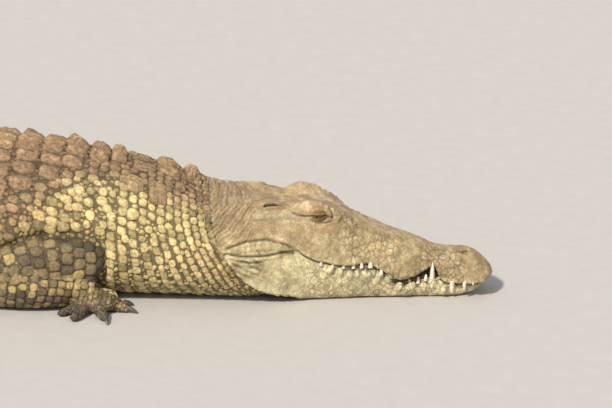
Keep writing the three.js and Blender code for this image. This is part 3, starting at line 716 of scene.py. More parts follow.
for root, root_up, radius in LOWER_ROOTS:
    far = np.hypot(x - root, (up - root_up) / 1.25)
    bump = bell(far, radius)
    move += sideways * bump * 8.6
    # painted shade in the groove round each swelling
    ring = bell(far - radius * 1.3, 2.0) * smoothstep(-6, 4, up - root_up)
    move -= 1.2 * sideways * ring
    painted_shade *= 1 - 0.5 * sideways * ring
    pale = np.maximum(pale, 1.1 * sideways * bump)
    roots_near = np.maximum(roots_near, bump)
# painted shade in the gaps between the swellings, under the mouth line
gaps = smoothstep(165, 200, x) * smoothstep(430, 400, x) * bell(up - line + 7, 6)
move -= 1.6 * sideways * gaps * (1 - roots_near) * (up < line)
painted_shade *= 1 - 0.6 * sideways * gaps * smoothstep(0.55, 0.1, roots_near) * (up < line)

# the folds at the corner of the mouth, the lens of skin between them and the rim of the jaw
# each fold also gets painted shade along its groove
for fold, depth, width, dark in ((FOLD_UPPER, 4.2, 2.6, 0.6), (FOLD_LOWER, 4.2, 2.4, 0.6),
                                 (FOLD_SECOND, 2.6, 2.2, 0.45)):
    d, t = near_line(x, up, fold)
    fade = smoothstep(0, 0.12, t) * smoothstep(1.02, 0.9, t)
    move += sideways * fade * (-depth * bell(d, width) + 1.6 * bell(d - width * 2.6, width * 1.6))
    painted_shade *= 1 - dark * sideways * fade * bell(d, width * 0.8)
upper_at, lower_at = (np.interp(x, *np.array(fold).T) for fold in (FOLD_UPPER, FOLD_LOWER))
lens_mask = sideways * ((up > lower_at) & (up < upper_at) & (x > FOLD_LOWER[0][0]) & (x < FOLD_LOWER[-1][0]))
d, t = near_line(x, up, LENS_RIDGE)
move += lens_mask * (3.0 * bell(d, 7) - 1.2 * bell(d - 6, 1.2))
pleats = np.sin(x / 2.3 + up * 0.12 + 6 * layered(pts, 0.02))
move += lens_mask * 0.5 * pleats
# painted shade in the troughs of the pleats
painted_shade *= 1 - 0.14 * lens_mask * smoothstep(0.3, 1, pleats)
d, t = near_line(x, up, JAW_RIM)
behind = x < rim_at(up)
rim = sideways * smoothstep(0, 0.1, t)
move += rim * (3.2 * bell(d, 7.0) * ~behind - 3.0 * bell(d - 2, 4.0) * behind)
# painted shade in the groove behind the jaw's rim
painted_shade *= 1 - 0.5 * rim * bell(d - 3, 3.0) * behind
pale = np.maximum(pale, rim * bell(d, 9) * ~behind * smoothstep(0.25, 0.5, t))
patch = (sideways * smoothstep(-75, -55, x) * smoothstep(48, 0, x) * smoothstep(52, 75, up)
         * smoothstep(118, 104, up))
wave = np.sin((x * 0.55 + up) / 2.4 + 7 * layered(pts, 0.03))
move += patch * 1.4 * wave
# painted shade in the troughs of the patch's wrinkles
painted_shade *= 1 - 0.4 * patch * smoothstep(0.0, 1, -wave)
ochre = patch * smoothstep(0.42, 0.6, layered(pts + 8, 0.02))

# creases where the legs meet the body
def off_limb(points, fr):
    """Signed distance in millimetres to a limb piece."""
    best = np.full(len(points), 1e3)
    for k in range(0, len(fr["centre"]), 2):
        to = points - fr["centre"][k]
        a, b, c = to @ fr["across"][k], to @ fr["upward"][k], to @ fr["along"][k]
        ra, rb = fr["radii"][k]
        size = np.sqrt((a / ra) ** 2 + (b / rb) ** 2 + (c / max(ra * CAP, 0.02)) ** 2)
        best = np.minimum(best, (size - 1) * (ra + rb) / 2 / MM)
    return best


def nearest(zone, frames, best):
    """Puts the distance to the nearest limb piece into best, for the points of a zone."""
    zone = np.nonzero(zone)[0]
    for fr in frames:
        best[zone] = np.minimum(best[zone], off_limb(pts[zone], fr))


LEG_RANGE = {"fore": (280, 660), "hind": (1050, 1480)}  # u of the skin that a leg can touch
limb_near = np.full(len(pts), 1e3)
for (kind, side), (web, pieces, digits, palm) in legs.items():
    u_low, u_high = LEG_RANGE[kind]
    nearest((u > u_low) & (u < u_high) & (out * side > 40), (pieces["upper"], pieces["lower"]), limb_near)
body_near = off_body(u, out, up)
crease = bell(np.maximum(np.abs(limb_near), np.abs(body_near)), 7.0) * (up > 8)
beside = smoothstep(0, 3, limb_near) * smoothstep(22, 6, limb_near) * smoothstep(6, 0, body_near) * (up > 12)
move -= 6.5 * crease + 3.0 * beside
# painted shade in the creases where the legs meet the body
painted_shade *= 1 - 0.45 * crease

# ear, lids and the creases about the eye
d, t = near_line(x, up, EAR)
by_side = smoothstep(55, 68, wide)
ear = by_side * smoothstep(-0.02, 0.1, t) * smoothstep(1.02, 0.9, t)
move += ear * (-5.5 * bell(d, 2.2) + 1.2 * bell(d - 6, 3))
# painted shade in the ear's slit
painted_shade *= 1 - 0.9 * ear * bell(d, 2.3)
flap = by_side * smoothstep(-10, 10, x) * smoothstep(100, 80, x)
flap = flap * smoothstep(184, 188, up) * smoothstep(206, 200, up)
pale = np.maximum(pale, 0.5 * flap)
# these creases get painted shade along their grooves
for crease, depth, width, dark in ((EAR_FLAP, 1.8, 1.8, 0.25), (EYE_BACK, 3.2, 1.8, 0.7),
                                   (LID_BELOW, 2.6, 1.6, 0.6), (EYE_CORNER, 2.4, 1.6, 0.6),
                                   (EYE_FRONT, 3.2, 1.7, 0.7)):
    d, t = near_line(x, up, crease)
    fade = by_side * smoothstep(-0.02, 0.1, t) * smoothstep(1.02, 0.9, t)
    move += fade * -depth * bell(d, width)
    painted_shade *= 1 - dark * fade * bell(d, width)
# painted shade in the pits in front of the eye
for px, pup, r in EYE_PITS:
    hole = sideways * bell(np.hypot(x - px, up - pup), r)
    move -= 2.2 * hole
    painted_shade *= 1 - 0.5 * hole
ridge_bumps = [[k, ridge_out(k), 6.0 + 1.5 * math.sin(k * 1.7)] for k in range(150, 262, 13)]
for bx, bo, r in ridge_bumps:
    move += 4.2 * bell(np.hypot(x - bx, wide - bo - 2 * math.sin(bx)), r) * upward

# nostrils and the top of the snout's tip
nose = bell(np.hypot((x - 486) / 1.15, out), 30) * upward
move += 3.0 * nose
d, t = near_line(x, wide, NOSTRIL)
nostril = upward * smoothstep(-0.02, 0.15, t) * smoothstep(1.02, 0.85, t)
move += nostril * (-5.0 * bell(d, 2.6) + 1.5 * bell(d - 6, 3))
# painted shade in the nostrils
painted_shade *= 1 - 0.8 * nostril * bell(d, 2.4)

# wrinkles of the nape and folds along the neck and flank
phase = x - 1.12 * up
nape = smoothstep(-150, -118, x) * smoothstep(12, -18, x) * smoothstep(130, 165, up)
wrinkle = np.sin((phase + 26 * (layered(pts, 0.04) - 0.5)) / 1.9)
deep = np.sin((phase + 30 * (layered(pts + 4, 0.06) - 0.5)) / 4.6)
patchy = 0.35 + 0.65 * noise(pts + 6, 0.03)
move += nape * patchy * (1.0 * wrinkle + 1.3 * deep)
# painted shade in the troughs of the wrinkles
painted_shade *= 1 - nape * patchy * (0.42 * smoothstep(0.2, 1, -wrinkle) + 0.25 * smoothstep(0.2, 1, -deep))

pts = pts + no * (move * MM)[:, None]

# the lids close over the eyeball, but for a slit
lid_new = pts.copy()
for side, word in SIDES:
    centre = place(-EYE["forward"], side * EYE["out"], BALL_UP)
    here = out * side > 30
    to = pts - centre
    reach = np.linalg.norm(to, axis=1) / MM
    flat = np.hypot((x - SLIT["forward"]) / 1.35, up - SLIT["up"])
    offset = (x - SLIT["forward"]) / SLIT["half"]
    middle = SLIT["up"] + SLIT["sag"] * offset ** 2
    opening = SLIT["open"] * np.clip(1 - offset ** 2, 0, 1) ** 0.7
    edge = np.abs(up - middle) - opening
    inside_ends = smoothstep(1.15, 0.95, np.abs(offset))
    lid = BALL + 1.6 + 1.7 * bell(edge - 2.0, 2.0) * inside_ends + 1.1 * bell(edge - 8.0, 1.6) * (up > middle)
    lid -= 1.0 * bell(edge - 5.2, 1.2) * inside_ends
    lid += 0.35 * np.sin(x / 1.5) * smoothstep(2, 6, edge) * (up > middle)
    lid = np.where((np.abs(offset) < 1) & (edge < 0), BALL - 3.0, lid)
    weight = smoothstep(23, 14, flat) * here * smoothstep(52, 60, wide)
    target = centre + to * (lid / np.maximum(reach, 1e-6))[:, None]
    lid_new = lid_new + (target - lid_new) * weight[:, None]
    stretched = np.hypot((x - SLIT["forward"] - 3) / 2.0, up - SLIT["up"])
    lid_tone = np.maximum(lid_tone, here * (wide > 55) * smoothstep(14.5, 10.5, stretched))
    # painted shade along the lids' edges at the slit
    painted_shade *= 1 - 0.55 * weight * bell(edge, 0.9) * inside_ends
pts = above_floor(lid_new, SOLE)
write(skin, pts)
smooth_faces(skin.data)
skin.data.update()
print("skin", len(skin.data.vertices), len(skin.data.polygons))


# ---------------------------------------------------------------- markings, the same rule for skin and scales
BACK = np.array([0.395, 0.255, 0.135])
FLANK = np.array([0.680, 0.500, 0.210])
BELLY = np.array([0.690, 0.570, 0.290])
DARK = np.array([0.075, 0.062, 0.045])
HEAD_TOP = np.array([0.430, 0.305, 0.160])
HEAD_SIDE = np.array([0.520, 0.395, 0.200])
JAW = np.array([0.800, 0.700, 0.405])
NECK = np.array([0.820, 0.650, 0.300])
LIMB = np.array([0.360, 0.265, 0.125])
LID = np.array([0.240, 0.145, 0.045])
CREAM = np.array([0.740, 0.650, 0.400])
OCHRE = np.array([0.420, 0.260, 0.100])
BROWN = np.array([0.270, 0.180, 0.095])
# painted shade: near black, for the skin seen between the scales as it lies in their shadow
GAP_SHADE = np.array([0.078, 0.057, 0.032])    # the skin between the scales


def mix(a, b, t):
    return a + (b - a) * np.asarray(t)[:, None]


def body_colour(u, out, up, limb, broad, fine, small):
    """Colour of trunk, neck, tail and legs. broad, fine and small are noise."""
    on_body = np.maximum(u, BODY_START)
    high = up / np.maximum(top_up(on_body), 20) + (fine - 0.5) * 0.16
    colour = mix(BELLY, FLANK, smoothstep(0.05, 0.3, high))
    inside = smoothstep(1.45, 0.88, np.abs(out) * (1 + 0.5 * (fine - 0.5)) / back_edge(on_body))
    inside = inside * smoothstep(0.45, 0.62, high)
    colour = mix(colour, NECK, 0.8 * smoothstep(60, 100, u) * smoothstep(460, 330, u))
    on_tail = smoothstep(1300, 1500, u)
    colour = mix(colour, BACK, inside + (smoothstep(0.66, 0.86, high) - inside) * on_tail)
    spots = smoothstep(0.56, 0.64, fine) * smoothstep(0.25, 0.45, high) * smoothstep(150, 420, u)
    bands = smoothstep(0.1, 0.8, np.sin(u / 34.0 + 5 * broad)) * smoothstep(1200, 1700, u)
    bands = bands * smoothstep(0.1, 0.4, high)
    colour = mix(colour, DARK, np.clip(0.5 * spots + 0.6 * bands, 0, 0.75))
    legs = mix(LIMB, FLANK, smoothstep(0.45, 0.62, fine))
    legs = mix(legs, DARK * 1.3, 0.7 * smoothstep(0.5, 0.62, broad * 0.55 + small * 0.45))
    legs = mix(legs, DARK * 1.5, 0.55 * np.clip(limb - 1, 0, 1))
    return mix(colour, legs, np.clip(limb, 0, 1))


def head_colour(p, x, up, fine):
    colour = mix(HEAD_SIDE, HEAD_TOP, smoothstep(120, 185, up + 20 * (fine - 0.5)))
    colour = mix(colour, HEAD_TOP * 0.9, smoothstep(290, 450, x) * 0.85)
    low = np.where(x > 90, smoothstep(4, -4, up - mouth_line(x)), smoothstep(135, 100, up + 0.1 * x))
    colour = mix(colour, JAW, low)
    colour = mix(colour, DARK * 2.4, 0.34 * smoothstep(0.52, 0.7, fine) * (0.5 + 0.5 * low))
    blots = layered(p + 4.4, 0.014)
    colour = mix(colour, BROWN, 0.40 * smoothstep(0.5, 0.68, blots) * (0.35 + 0.65 * low))
    return mix(colour, CREAM, 0.35 * smoothstep(0.5, 0.3, blots))


def markings(p, limb):
    """The hide's colour at points in metres. limb is 1 on the legs and 2 on the hands and feet."""
    u, out, up = unplace(p)
    broad, fine, small = layered(p, 0.11), layered(p + 1.3, 0.035), noise(p + 2.2, 0.012)
    body = body_colour(u, out, up, limb, broad, fine, small)
    on_head = smoothstep(-10, 8, -u - rim_at(up) + 14 * (fine - 0.5))
    return mix(body, head_colour(p, -u, up, fine), on_head) * (0.86 + 0.28 * small)[:, None]


def set_attribute(obj, name, content):
    """A value or a colour for every vertex."""
    content = np.asarray(content, np.float32)
    colour = content.ndim == 2
    layer = obj.data.attributes.new(name, "FLOAT_COLOR" if colour else "FLOAT", "POINT")
    if colour:
        content = np.concatenate([content, np.ones((len(content), 1), np.float32)], 1).ravel()
    layer.data.foreach_set("color" if colour else "value", content)


leg_mask = smoothstep(1.5, -1.5, limb_near - body_near) * (limb_near < 30)
leg_mask = np.maximum(leg_mask, smoothstep(6, 22, wide - half_width(np.maximum(u, BODY_START))) * (u > 60))
hand_near = np.full(len(pts), 1e3)
for web, pieces, digits, palm in legs.values():
    nearest(np.linalg.norm(pts[:, :2] - np.array(palm[:2]), axis=1) < 0.24,
            [pieces["palm"]] + [digit["frame"] for digit in digits], hand_near)
tint = markings(pts, leg_mask + leg_mask * smoothstep(10, 2, hand_near))
# painted shade over the skin behind the head's rim, which shows between the scales of neck and body
between = smoothstep(0, -8, x - rim_at(up)) * (1 - 0.75 * smoothstep(150, 185, up) * (u < 118))
for colour, share in ((CREAM, 0.75 * pale), (OCHRE, 0.7 * ochre), (CREAM, 0.15 * lens_mask),
                      (LID, 0.85 * lid_tone), (GAP_SHADE, 0.84 * between)):
    tint = mix(tint, colour, share)
# the hide's colour times the painted shade of its grooves and creases
set_attribute(skin, "tint", tint * painted_shade[:, None])
cracked = 0.16 + 0.84 * smoothstep(150, 230, x) * smoothstep(0.15, 0.45, lateral) * smoothstep(520, 470, x)
cracked = np.maximum(cracked, 0.75 * smoothstep(100, 130, x) * smoothstep(2, -6, up - line))
cracked = cracked * (0.35 + 0.65 * smoothstep(0.35, 0.6, layered(pts + 12, 0.05)))
set_attribute(skin, "cracked", np.clip(cracked, 0, 1))


# ---------------------------------------------------------------- materials
def new_material(name):
    """A material, its node tree, its shader and the coordinates on the object."""
    material = bpy.data.materials.new(name)
    material.use_nodes = True
    tree = material.node_tree
    coords = tree.nodes.new("ShaderNodeTexCoord").outputs["Object"]
    return material, tree, tree.nodes["Principled BSDF"], coords


def attribute(tree, name):
    node = tree.nodes.new("ShaderNodeAttribute")
    node.attribute_name = name
    return node


def math_node(tree, kind, *terms):
    node = tree.nodes.new("ShaderNodeMath")
    node.operation = kind
    for term, socket in zip(terms, node.inputs):
        if isinstance(term, (int, float)):
            socket.default_value = term
        else:
            tree.links.new(term, socket)
    return node.outputs[0]


def ramp_node(tree, value, low, high, to_low=0.0, to_high=1.0):
    node = tree.nodes.new("ShaderNodeMapRange")
    for name, v in (("From Min", low), ("From Max", high), ("To Min", to_low), ("To Max", to_high)):
        node.inputs[name].default_value = v
    tree.links.new(value, node.inputs["Value"])
    return node.outputs["Result"]


def noise_node(tree, coords, scale, detail):
    node = tree.nodes.new("ShaderNodeTexNoise")
    node.inputs["Scale"].default_value = scale
    node.inputs["Detail"].default_value = detail
    tree.links.new(coords, node.inputs["Vector"])
    return node.outputs


def cracks_node(tree, coords, scale, randomness=1.0):
    """Distance to the edges of random cells."""
    node = tree.nodes.new("ShaderNodeTexVoronoi")
    node.feature = "DISTANCE_TO_EDGE"
    node.inputs["Scale"].default_value = scale
    node.inputs["Detail"].default_value = 4.0
    node.inputs["Randomness"].default_value = randomness
    tree.links.new(coords, node.inputs["Vector"])
    return node.outputs["Distance"]


def blend_node(tree, low, high, factor):
    node = tree.nodes.new("ShaderNodeMix")
    node.data_type = "RGBA"
    node.inputs["A"].default_value = (*low, 1)
    node.inputs["B"].default_value = (*high, 1)
    tree.links.new(factor, node.inputs["Factor"])
    return node.outputs["Result"]


def shaded(tree, bsdf, colour, factor):
    """Links a colour times a factor to the shader."""
    node = tree.nodes.new("ShaderNodeVectorMath")
    node.operation = "SCALE"
    tree.links.new(colour, node.inputs[0])
    tree.links.new(factor, node.inputs["Scale"])
    tree.links.new(node.outputs[0], bsdf.inputs["Base Color"])


def bump_node(tree, bsdf, height, distance, strength):
    node = tree.nodes.new("ShaderNodeBump")
    node.inputs["Strength"].default_value = strength
    node.inputs["Distance"].default_value = distance
    tree.links.new(height, node.inputs["Height"])
    tree.links.new(node.outputs["Normal"], bsdf.inputs["Normal"])


def hide_material(name, cracks, grain, roughness, varied=False, mottled=1.0):
    """Hide coloured by the tint attribute, with fine cracks between granules and dusty grain."""
    material, tree, bsdf, coords = new_material(name)
    warp = tree.nodes.new("ShaderNodeMix")
    warp.data_type = "VECTOR"
    warp.inputs["Factor"].default_value = 0.012
    tree.links.new(coords, warp.inputs["A"])
    tree.links.new(noise_node(tree, coords, 60, 2)["Color"], warp.inputs["B"])
    warped = warp.outputs["Result"]
    fine = noise_node(tree, coords, 420, 5)["Fac"]
    crack = ramp_node(tree, cracks_node(tree, warped, cracks, 0.85), 0.0, 0.07)
    little = ramp_node(tree, cracks_node(tree, warped, cracks * 2.7), 0.0, 0.10)
    if varied:
        off = math_node(tree, "SUBTRACT", 1.0, attribute(tree, "cracked").outputs["Fac"])
        crack = math_node(tree, "MAXIMUM", crack, off)
    tone = ramp_node(tree, crack, 0, 1, 1 - grain, 1.0)
    for value, low, high, to_low, to_high in (
            (little, 0, 1, 1 - grain * 0.45, 1.0), (fine, 0.3, 0.7, 0.84, 1.14),
            (noise_node(tree, coords, 45, 5)["Fac"], 0.3, 0.7, 0.80, 1.18),
            (noise_node(tree, coords, 150, 4)["Fac"], 0.35, 0.65, 1 - 0.14 * mottled, 1 + 0.12 * mottled)):
        tone = math_node(tree, "MULTIPLY", tone, ramp_node(tree, value, low, high, to_low, to_high))
    shaded(tree, bsdf, attribute(tree, "tint").outputs["Color"], tone)
    height = math_node(tree, "ADD", math_node(tree, "MULTIPLY", crack, 0.55),
                       math_node(tree, "MULTIPLY", little, 0.25))
    height = math_node(tree, "ADD", height, math_node(tree, "MULTIPLY", fine, 0.5))
    bump_node(tree, bsdf, height, 0.0012, 0.9)
    tree.links.new(ramp_node(tree, fine, 0.3, 0.7, roughness - 0.1, roughness + 0.1),
                   bsdf.inputs["Roughness"])
    return material


def show(obj, material, slot, *nodes):
    """Gives a piece its material, hangs it on the root body and hides the solids it stands for. slot is not used.
    """
    obj.data.materials.clear()
    obj.data.materials.append(material)
    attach(obj, "root")
    if nodes:
        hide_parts(*nodes)


flesh_nodes = ["head", "lower_jaw", "neck", "trunk", "tail_base", "tail_middle", "tail_rear", "tail_tip"]
flesh_nodes += [part + word for part in ("upper_arm", "forearm", "hand", "thigh", "shank", "foot")
                for word in ("_left", "_right")]
show(skin, hide_material("skin_hide", 66, 0.55, 0.72, True), "hide", *flesh_nodes)

# ---------------------------------------------------------------- eyes
eye_material, tree, bsdf, coords = new_material("eye_glass")
parts = tree.nodes.new("ShaderNodeSeparateXYZ")
tree.links.new(coords, parts.inputs[0])
pupil = ramp_node(tree, math_node(tree, "ABSOLUTE", parts.outputs["X"]), 0.0012, 0.0022)
streaks = ramp_node(tree, noise_node(tree, coords, 900, 4)["Fac"], 0.35, 0.65)
shaded(tree, bsdf, blend_node(tree, (0.035, 0.022, 0.008), (0.12, 0.085, 0.022), streaks), pupil)
bsdf.inputs["Roughness"].default_value = 0.16
bsdf.inputs["Coat Weight"].default_value = 0.2
EYE_RINGS, EYE_AROUND = 24, 40
for side, word in SIDES:
    a, b = np.meshgrid(np.linspace(-np.pi / 2, np.pi / 2, EYE_RINGS),
                       np.linspace(0, 2 * np.pi, EYE_AROUND, endpoint=False), indexing="ij")
    ball = np.stack([np.cos(a) * np.cos(b), np.sin(a), np.cos(a) * np.sin(b)], -1) * (BALL * MM)
    bulge = np.exp(-((ball[..., 0] ** 2 + ball[..., 2] ** 2) / (0.009 ** 2))) * (ball[..., 1] * side > 0)
    ball = (ball * (1 + 0.06 * bulge)[..., None]).reshape(-1, 3)
    eye = make_object("eyeball_" + word, ball, tube_faces(EYE_RINGS, EYE_AROUND))
    eye.location = place(-EYE["forward"], side * EYE["out"], BALL_UP)
    show(eye, eye_material, "eye", "eye_" + word)


# ---------------------------------------------------------------- teeth and claws
def spike(base, tip, radius, bend=(0, 0, 0), sides=14, rings=12):
    """A pointed tooth or claw from base to tip, bent by a vector."""
    base, tip, bend = (np.array(q, float) for q in (base, tip, bend))
    t = np.linspace(0, 1, rings)
    centre = base + (tip - base) * t[:, None] + bend * (t * (1 - t) * 4)[:, None]
    along = np.gradient(centre, axis=0)
    along /= np.linalg.norm(along, axis=1)[:, None]
    first = np.cross(along, [0.31, 0.87, 0.38])
    first /= np.linalg.norm(first, axis=1)[:, None]
    second = np.cross(along, first)
    r = radius * (1 - t ** 2.3) ** 0.6 * (1 - 0.12 * t) + radius * 0.03
    th = np.linspace(0, 2 * np.pi, sides, endpoint=False)
    ring = centre[:, None] + r[:, None, None] * (first[:, None] * np.cos(th)[None, :, None]
                                                 + second[:, None] * np.sin(th)[None, :, None])
    return ring.reshape(-1, 3), tube_faces(rings, sides)


def joined(pairs):
    verts, faces, offset = [], [], 0
    for v, f in pairs:
        verts.append(v)
        faces.extend([[q + offset for q in g] for g in f])
        offset += len(v)
    return np.concatenate(verts), faces


def horn_material(name, low, high, roughness):
    material, tree, bsdf, coords = new_material(name)
    stain = ramp_node(tree, noise_node(tree, coords, 130, 6)["Fac"], 0.38, 0.55)
    streak = noise_node(tree, coords, 700, 3)["Fac"]
    shaded(tree, bsdf, blend_node(tree, low, high, stain), ramp_node(tree, streak, 0.3, 0.7, 0.8, 1.1))
    bump_node(tree, bsdf, streak, 0.0004, 0.6)
    bsdf.inputs["Roughness"].default_value = roughness
    return material


IN_JAW = 6.0  # how deep a tooth stands in the jaw
spikes = []
for side, word in SIDES:
    for tx, length, radius in LOWER_TEETH:
        back = 1.5 if tx == LOWER_TEETH[0][0] else 0.0
        foot = float(jaw_up(tx)) - IN_JAW
        o = float(lip_out(tx)) if tx in OUTSIDE_TEETH else float(jaw_out(tx)) - radius * 0.55
        o -= 0.5
        tip = place(back - tx, side * (o - 1.5), foot + length + IN_JAW)
        spikes.append(spike(place(-tx, side * o, foot), tip, radius * 1.25 * MM))
    for tx, length, radius in UPPER_TEETH:
        foot = float(lip_up(tx)) + IN_JAW
        o = float(lip_out(tx)) - radius * 0.7
        tip = place(-tx - 2, side * (o - 1.0), max(foot - length - IN_JAW, 4.0))
        spikes.append(spike(place(-tx, side * o, foot), tip, radius * 1.12 * MM))
teeth = make_object("teeth", *joined(spikes))
show(teeth, horn_material("tooth_enamel", (0.66, 0.57, 0.40), (0.80, 0.75, 0.63), 0.32), "horn")

spikes, claw_nodes = [], []
for (kind, side), (web, pieces, digits, palm) in legs.items():
    part = {"fore": "hand", "hind": "foot"}[kind]
    for i, digit in enumerate(digits[:CLAWED]):
        base = digit["tip"] - digit["direction"] * 0.007
        tip = base + digit["direction"] * (CLAW["length"] + 5) * MM
        tip[2] = 0.0012
        spikes.append(spike(base, tip, CLAW["radius"] * 1.05 * MM, (0, 0, 0.0045)))
        claw_nodes.append(f"{part}_claw_{i + 1}_{dict(SIDES)[side]}")
claws = make_object("claws", *joined(spikes))
write(claws, above_floor(read(claws), 0.5))
show(claws, horn_material("claw_horn", (0.035, 0.03, 0.025), (0.13, 0.11, 0.085), 0.42), "horn", *claw_nodes)


# ---------------------------------------------------------------- the coat: scales laid on the skin
def skin_tree(obj):
    """The skin's faces for finding places on it, and each face's normal, share of leg, middle and painted shade.
    """
    corner = values(obj.data.loops, "vertex_index")
    start, total = (values(obj.data.polygons, field) for field in ("loop_start", "loop_total"))

    def per_face(field):
        return np.add.reduceat(field[corner], start, axis=0)
    face_normal = per_face(normals(obj))
    face_normal /= np.linalg.norm(face_normal, axis=1)[:, None]
    corners = corner.tolist()
    polygons = [corners[a:a + n] for a, n in zip(start.tolist(), total.tolist())]
    return (BVHTree.FromPolygons(read(obj).tolist(), polygons), face_normal, per_face(leg_mask) / total,
            per_face(read(obj)) / total[:, None], per_face(painted_shade) / total)


TREE, FACE_NORMAL, FACE_LIMB, FACE_MIDDLE, FACE_PAINTED_SHADE = skin_tree(skin)


def onto_skin(points):
    """The nearest places of the skin, its normals there, the distances and the faces."""
    found = [TREE.find_nearest(p) for p in points.reshape(-1, 3).tolist()]
    at, face, away = (np.array([f[k] for f in found]) for k in (0, 2, 3))
    face = face.reshape(points.shape[:-1])
    return at.reshape(points.shape), FACE_NORMAL[face], away.reshape(face.shape), face


def pad_template(points, start, rings):
    """A scale as a fan and rings of (place in the unit disc, share of its height, painted light and shade, turn).
    """
    th = (np.arange(points) + start) / points * 2 * np.pi
    rho, lift, tone, angle = [0.0], [1.0], [1.0], [0.0]
    for r, h, c, turn in rings:
        rho += [r] * points
        lift += [h] * points
        tone += [c] * points
        angle += (th + turn).tolist()
    faces = [[0, 1 + k, 1 + (k + 1) % points] for k in range(points)]
    for ring in range(len(rings) - 1):
        a, b = 1 + ring * points, 1 + (ring + 1) * points
        for k in range(points):
            j = (k + 1) % points
            faces += [[a + k, b + k, b + j], [a + k, b + j, a + j]]
    last = 1 + (len(rings) - 1) * points
    faces += [[last, last + k + 1, last + k] for k in range(1, points - 1)]
    return tuple(np.array(q) for q in (rho, angle, lift, tone, faces))


# painted light on each scale: a little lighter round the middle, and painted shade darkening towards the rim,
# where it dips into the skin
RHO, ANGLE, LIFT, PAD_SHADING, PAD_FACES = pad_template(
    12, 0.5, [(0.42, 0.97, 1.06, 0), (0.72, 0.84, 0.92, 0), (0.90, 0.52, 0.62, 0), (1.0, -0.45, 0.26, 0)])
PATCH = 0.003  # the side of a scale's patch in the bake's map


def pads(middle, along, across, height, squareness, keel):
    """Scales as vertices [n, t, 3] over the skin, and their places across and along.

    middle, along and across are [n, 3] metres; height and keel are millimetres."""
    n = len(middle)
    power = squareness[:, None]
    c, s = np.cos(ANGLE)[None], np.sin(ANGLE)[None]
    radius = (np.abs(c) ** power + np.abs(s) ** power) ** (-1 / power)
    two_waves = 0.07 * np.sin(2 * ANGLE + rng.random((n, 1)) * 6.3)
    three_waves = 0.05 * np.sin(3 * ANGLE + rng.random((n, 1)) * 6.3)
    uneven = 1 + two_waves + three_waves + rng.normal(0, 0.018, (n, len(ANGLE)))
    p = RHO[None] * radius * c * uneven
    q = RHO[None] * radius * s * uneven
    at, no, away, face = onto_skin(middle[:, None] + along[:, None] * p[..., None]
                                   + across[:, None] * q[..., None])
    ridge = keel[:, None] * np.exp(-(q / 0.2) ** 2) * np.clip(1 - RHO[None] ** 2, 0, 1) * (1 + 0.35 * p)
    lift = height[:, None] * LIFT[None] * (1 + 0.22 * p) + ridge
    return above_floor(at + no * (lift * MM)[..., None], SCALE_SOLE), p, q


def coat_object(name, verts, vertex_shade_and_tone, roots, p, q, centres, limb, scale_tone_and_shade, slot="hide", faces=PAD_FACES,
                own_hue=0.0):
    """One piece of the coat out of its scales' vertices [n, t, 3]."""
    n, t = verts.shape[:2]
    faces = (faces[None] + (np.arange(n) * t)[:, None, None]).reshape(-1, 3)
    obj = make_object(name, verts.reshape(-1, 3), faces)
    brown = BACK * (0.86 + 0.28 * noise(centres + 2.2, 0.012))[:, None]
    colour = mix(markings(centres, limb), brown, np.full(n, own_hue))
    # the markings times each vertex's painted shade and light and each scale's tone
    set_attribute(obj, "tint", (colour[:, None] * vertex_shade_and_tone[..., None] * scale_tone_and_shade[:, None]).reshape(-1, 3))
    uv = (roots[:, None] + np.stack([p, q], -1) * PATCH / 2).reshape(-1, 2)
    layer = obj.data.uv_layers.new(name="OFBake")
    layer.data.foreach_set("uv", uv[values(obj.data.loops, "vertex_index")].astype(np.float32).ravel())
    show(obj, COAT_MATERIALS[slot], slot)
    print(name, n, "scales", len(faces), "faces")


COAT_MATERIALS = {"hide": hide_material("scale_hide", 210, 0.30, 0.58, mottled=2.2),
                  "limb_hide": hide_material("limb_hide", 260, 0.30, 0.56, mottled=2.2)}
taken = np.zeros((0, 4))  # middles and sizes of the scales already laid


def take(middle, size):
    global taken
    taken = np.concatenate([taken, np.concatenate([middle, size[:, None]], 1)])


def half_size(along, across):
    return (np.linalg.norm(along, axis=1) + np.linalg.norm(across, axis=1)) / 2


def free_of_others(middle, size, share=0.62):
    """Which scales do not sit on one already laid."""
    keep = np.ones(len(middle), bool)
    for start in range(0, len(middle), 500):
        part = slice(start, start + 500)
        gap = np.linalg.norm(middle[part, None] - taken[None, :, :3], axis=2)
        keep[part] = (gap > share * (size[part, None] + taken[None, :, 3])).all(1)
    return keep


def lay(name, middle, along, across, height, squareness, keel, roots, limb, tone=0.13, slot="hide",
        sunk=0.0045):
    """Lays scales on the skin and makes one piece of them. Those under the skin are left out."""
    at, no, away, face = onto_skin(middle)
    size = half_size(along, across)
    limb = np.broadcast_to(np.asarray(limb, float), size.shape)
    here = FACE_LIMB[face]
    keep = (away < sunk) & np.where(limb > 0, here > 0.42, here < 0.58) & free_of_others(at, size)
    at, along, across, height, squareness, keel, roots, size, limb, painted_dim = (
        a[keep] for a in (at, along, across, height, squareness, keel, roots, size, limb, FACE_PAINTED_SHADE[face]))
    take(at, size)
    verts, p, q = pads(at, along, across, height, squareness, keel)
    one_each = (len(at), 1)
    # each scale's random tone times the painted shade of the skin's grooves beneath it
    scale_tone_and_shade = (1 + rng.normal(0, tone, one_each)) * painted_dim[:, None]
    scale_tone_and_shade = scale_tone_and_shade * np.where(rng.random(one_each) < 0.06, 0.6, 1)
    coat_object(name, verts, PAD_SHADING, roots, p, q, at, limb, np.clip(scale_tone_and_shade, 0.4, 1.35), slot)


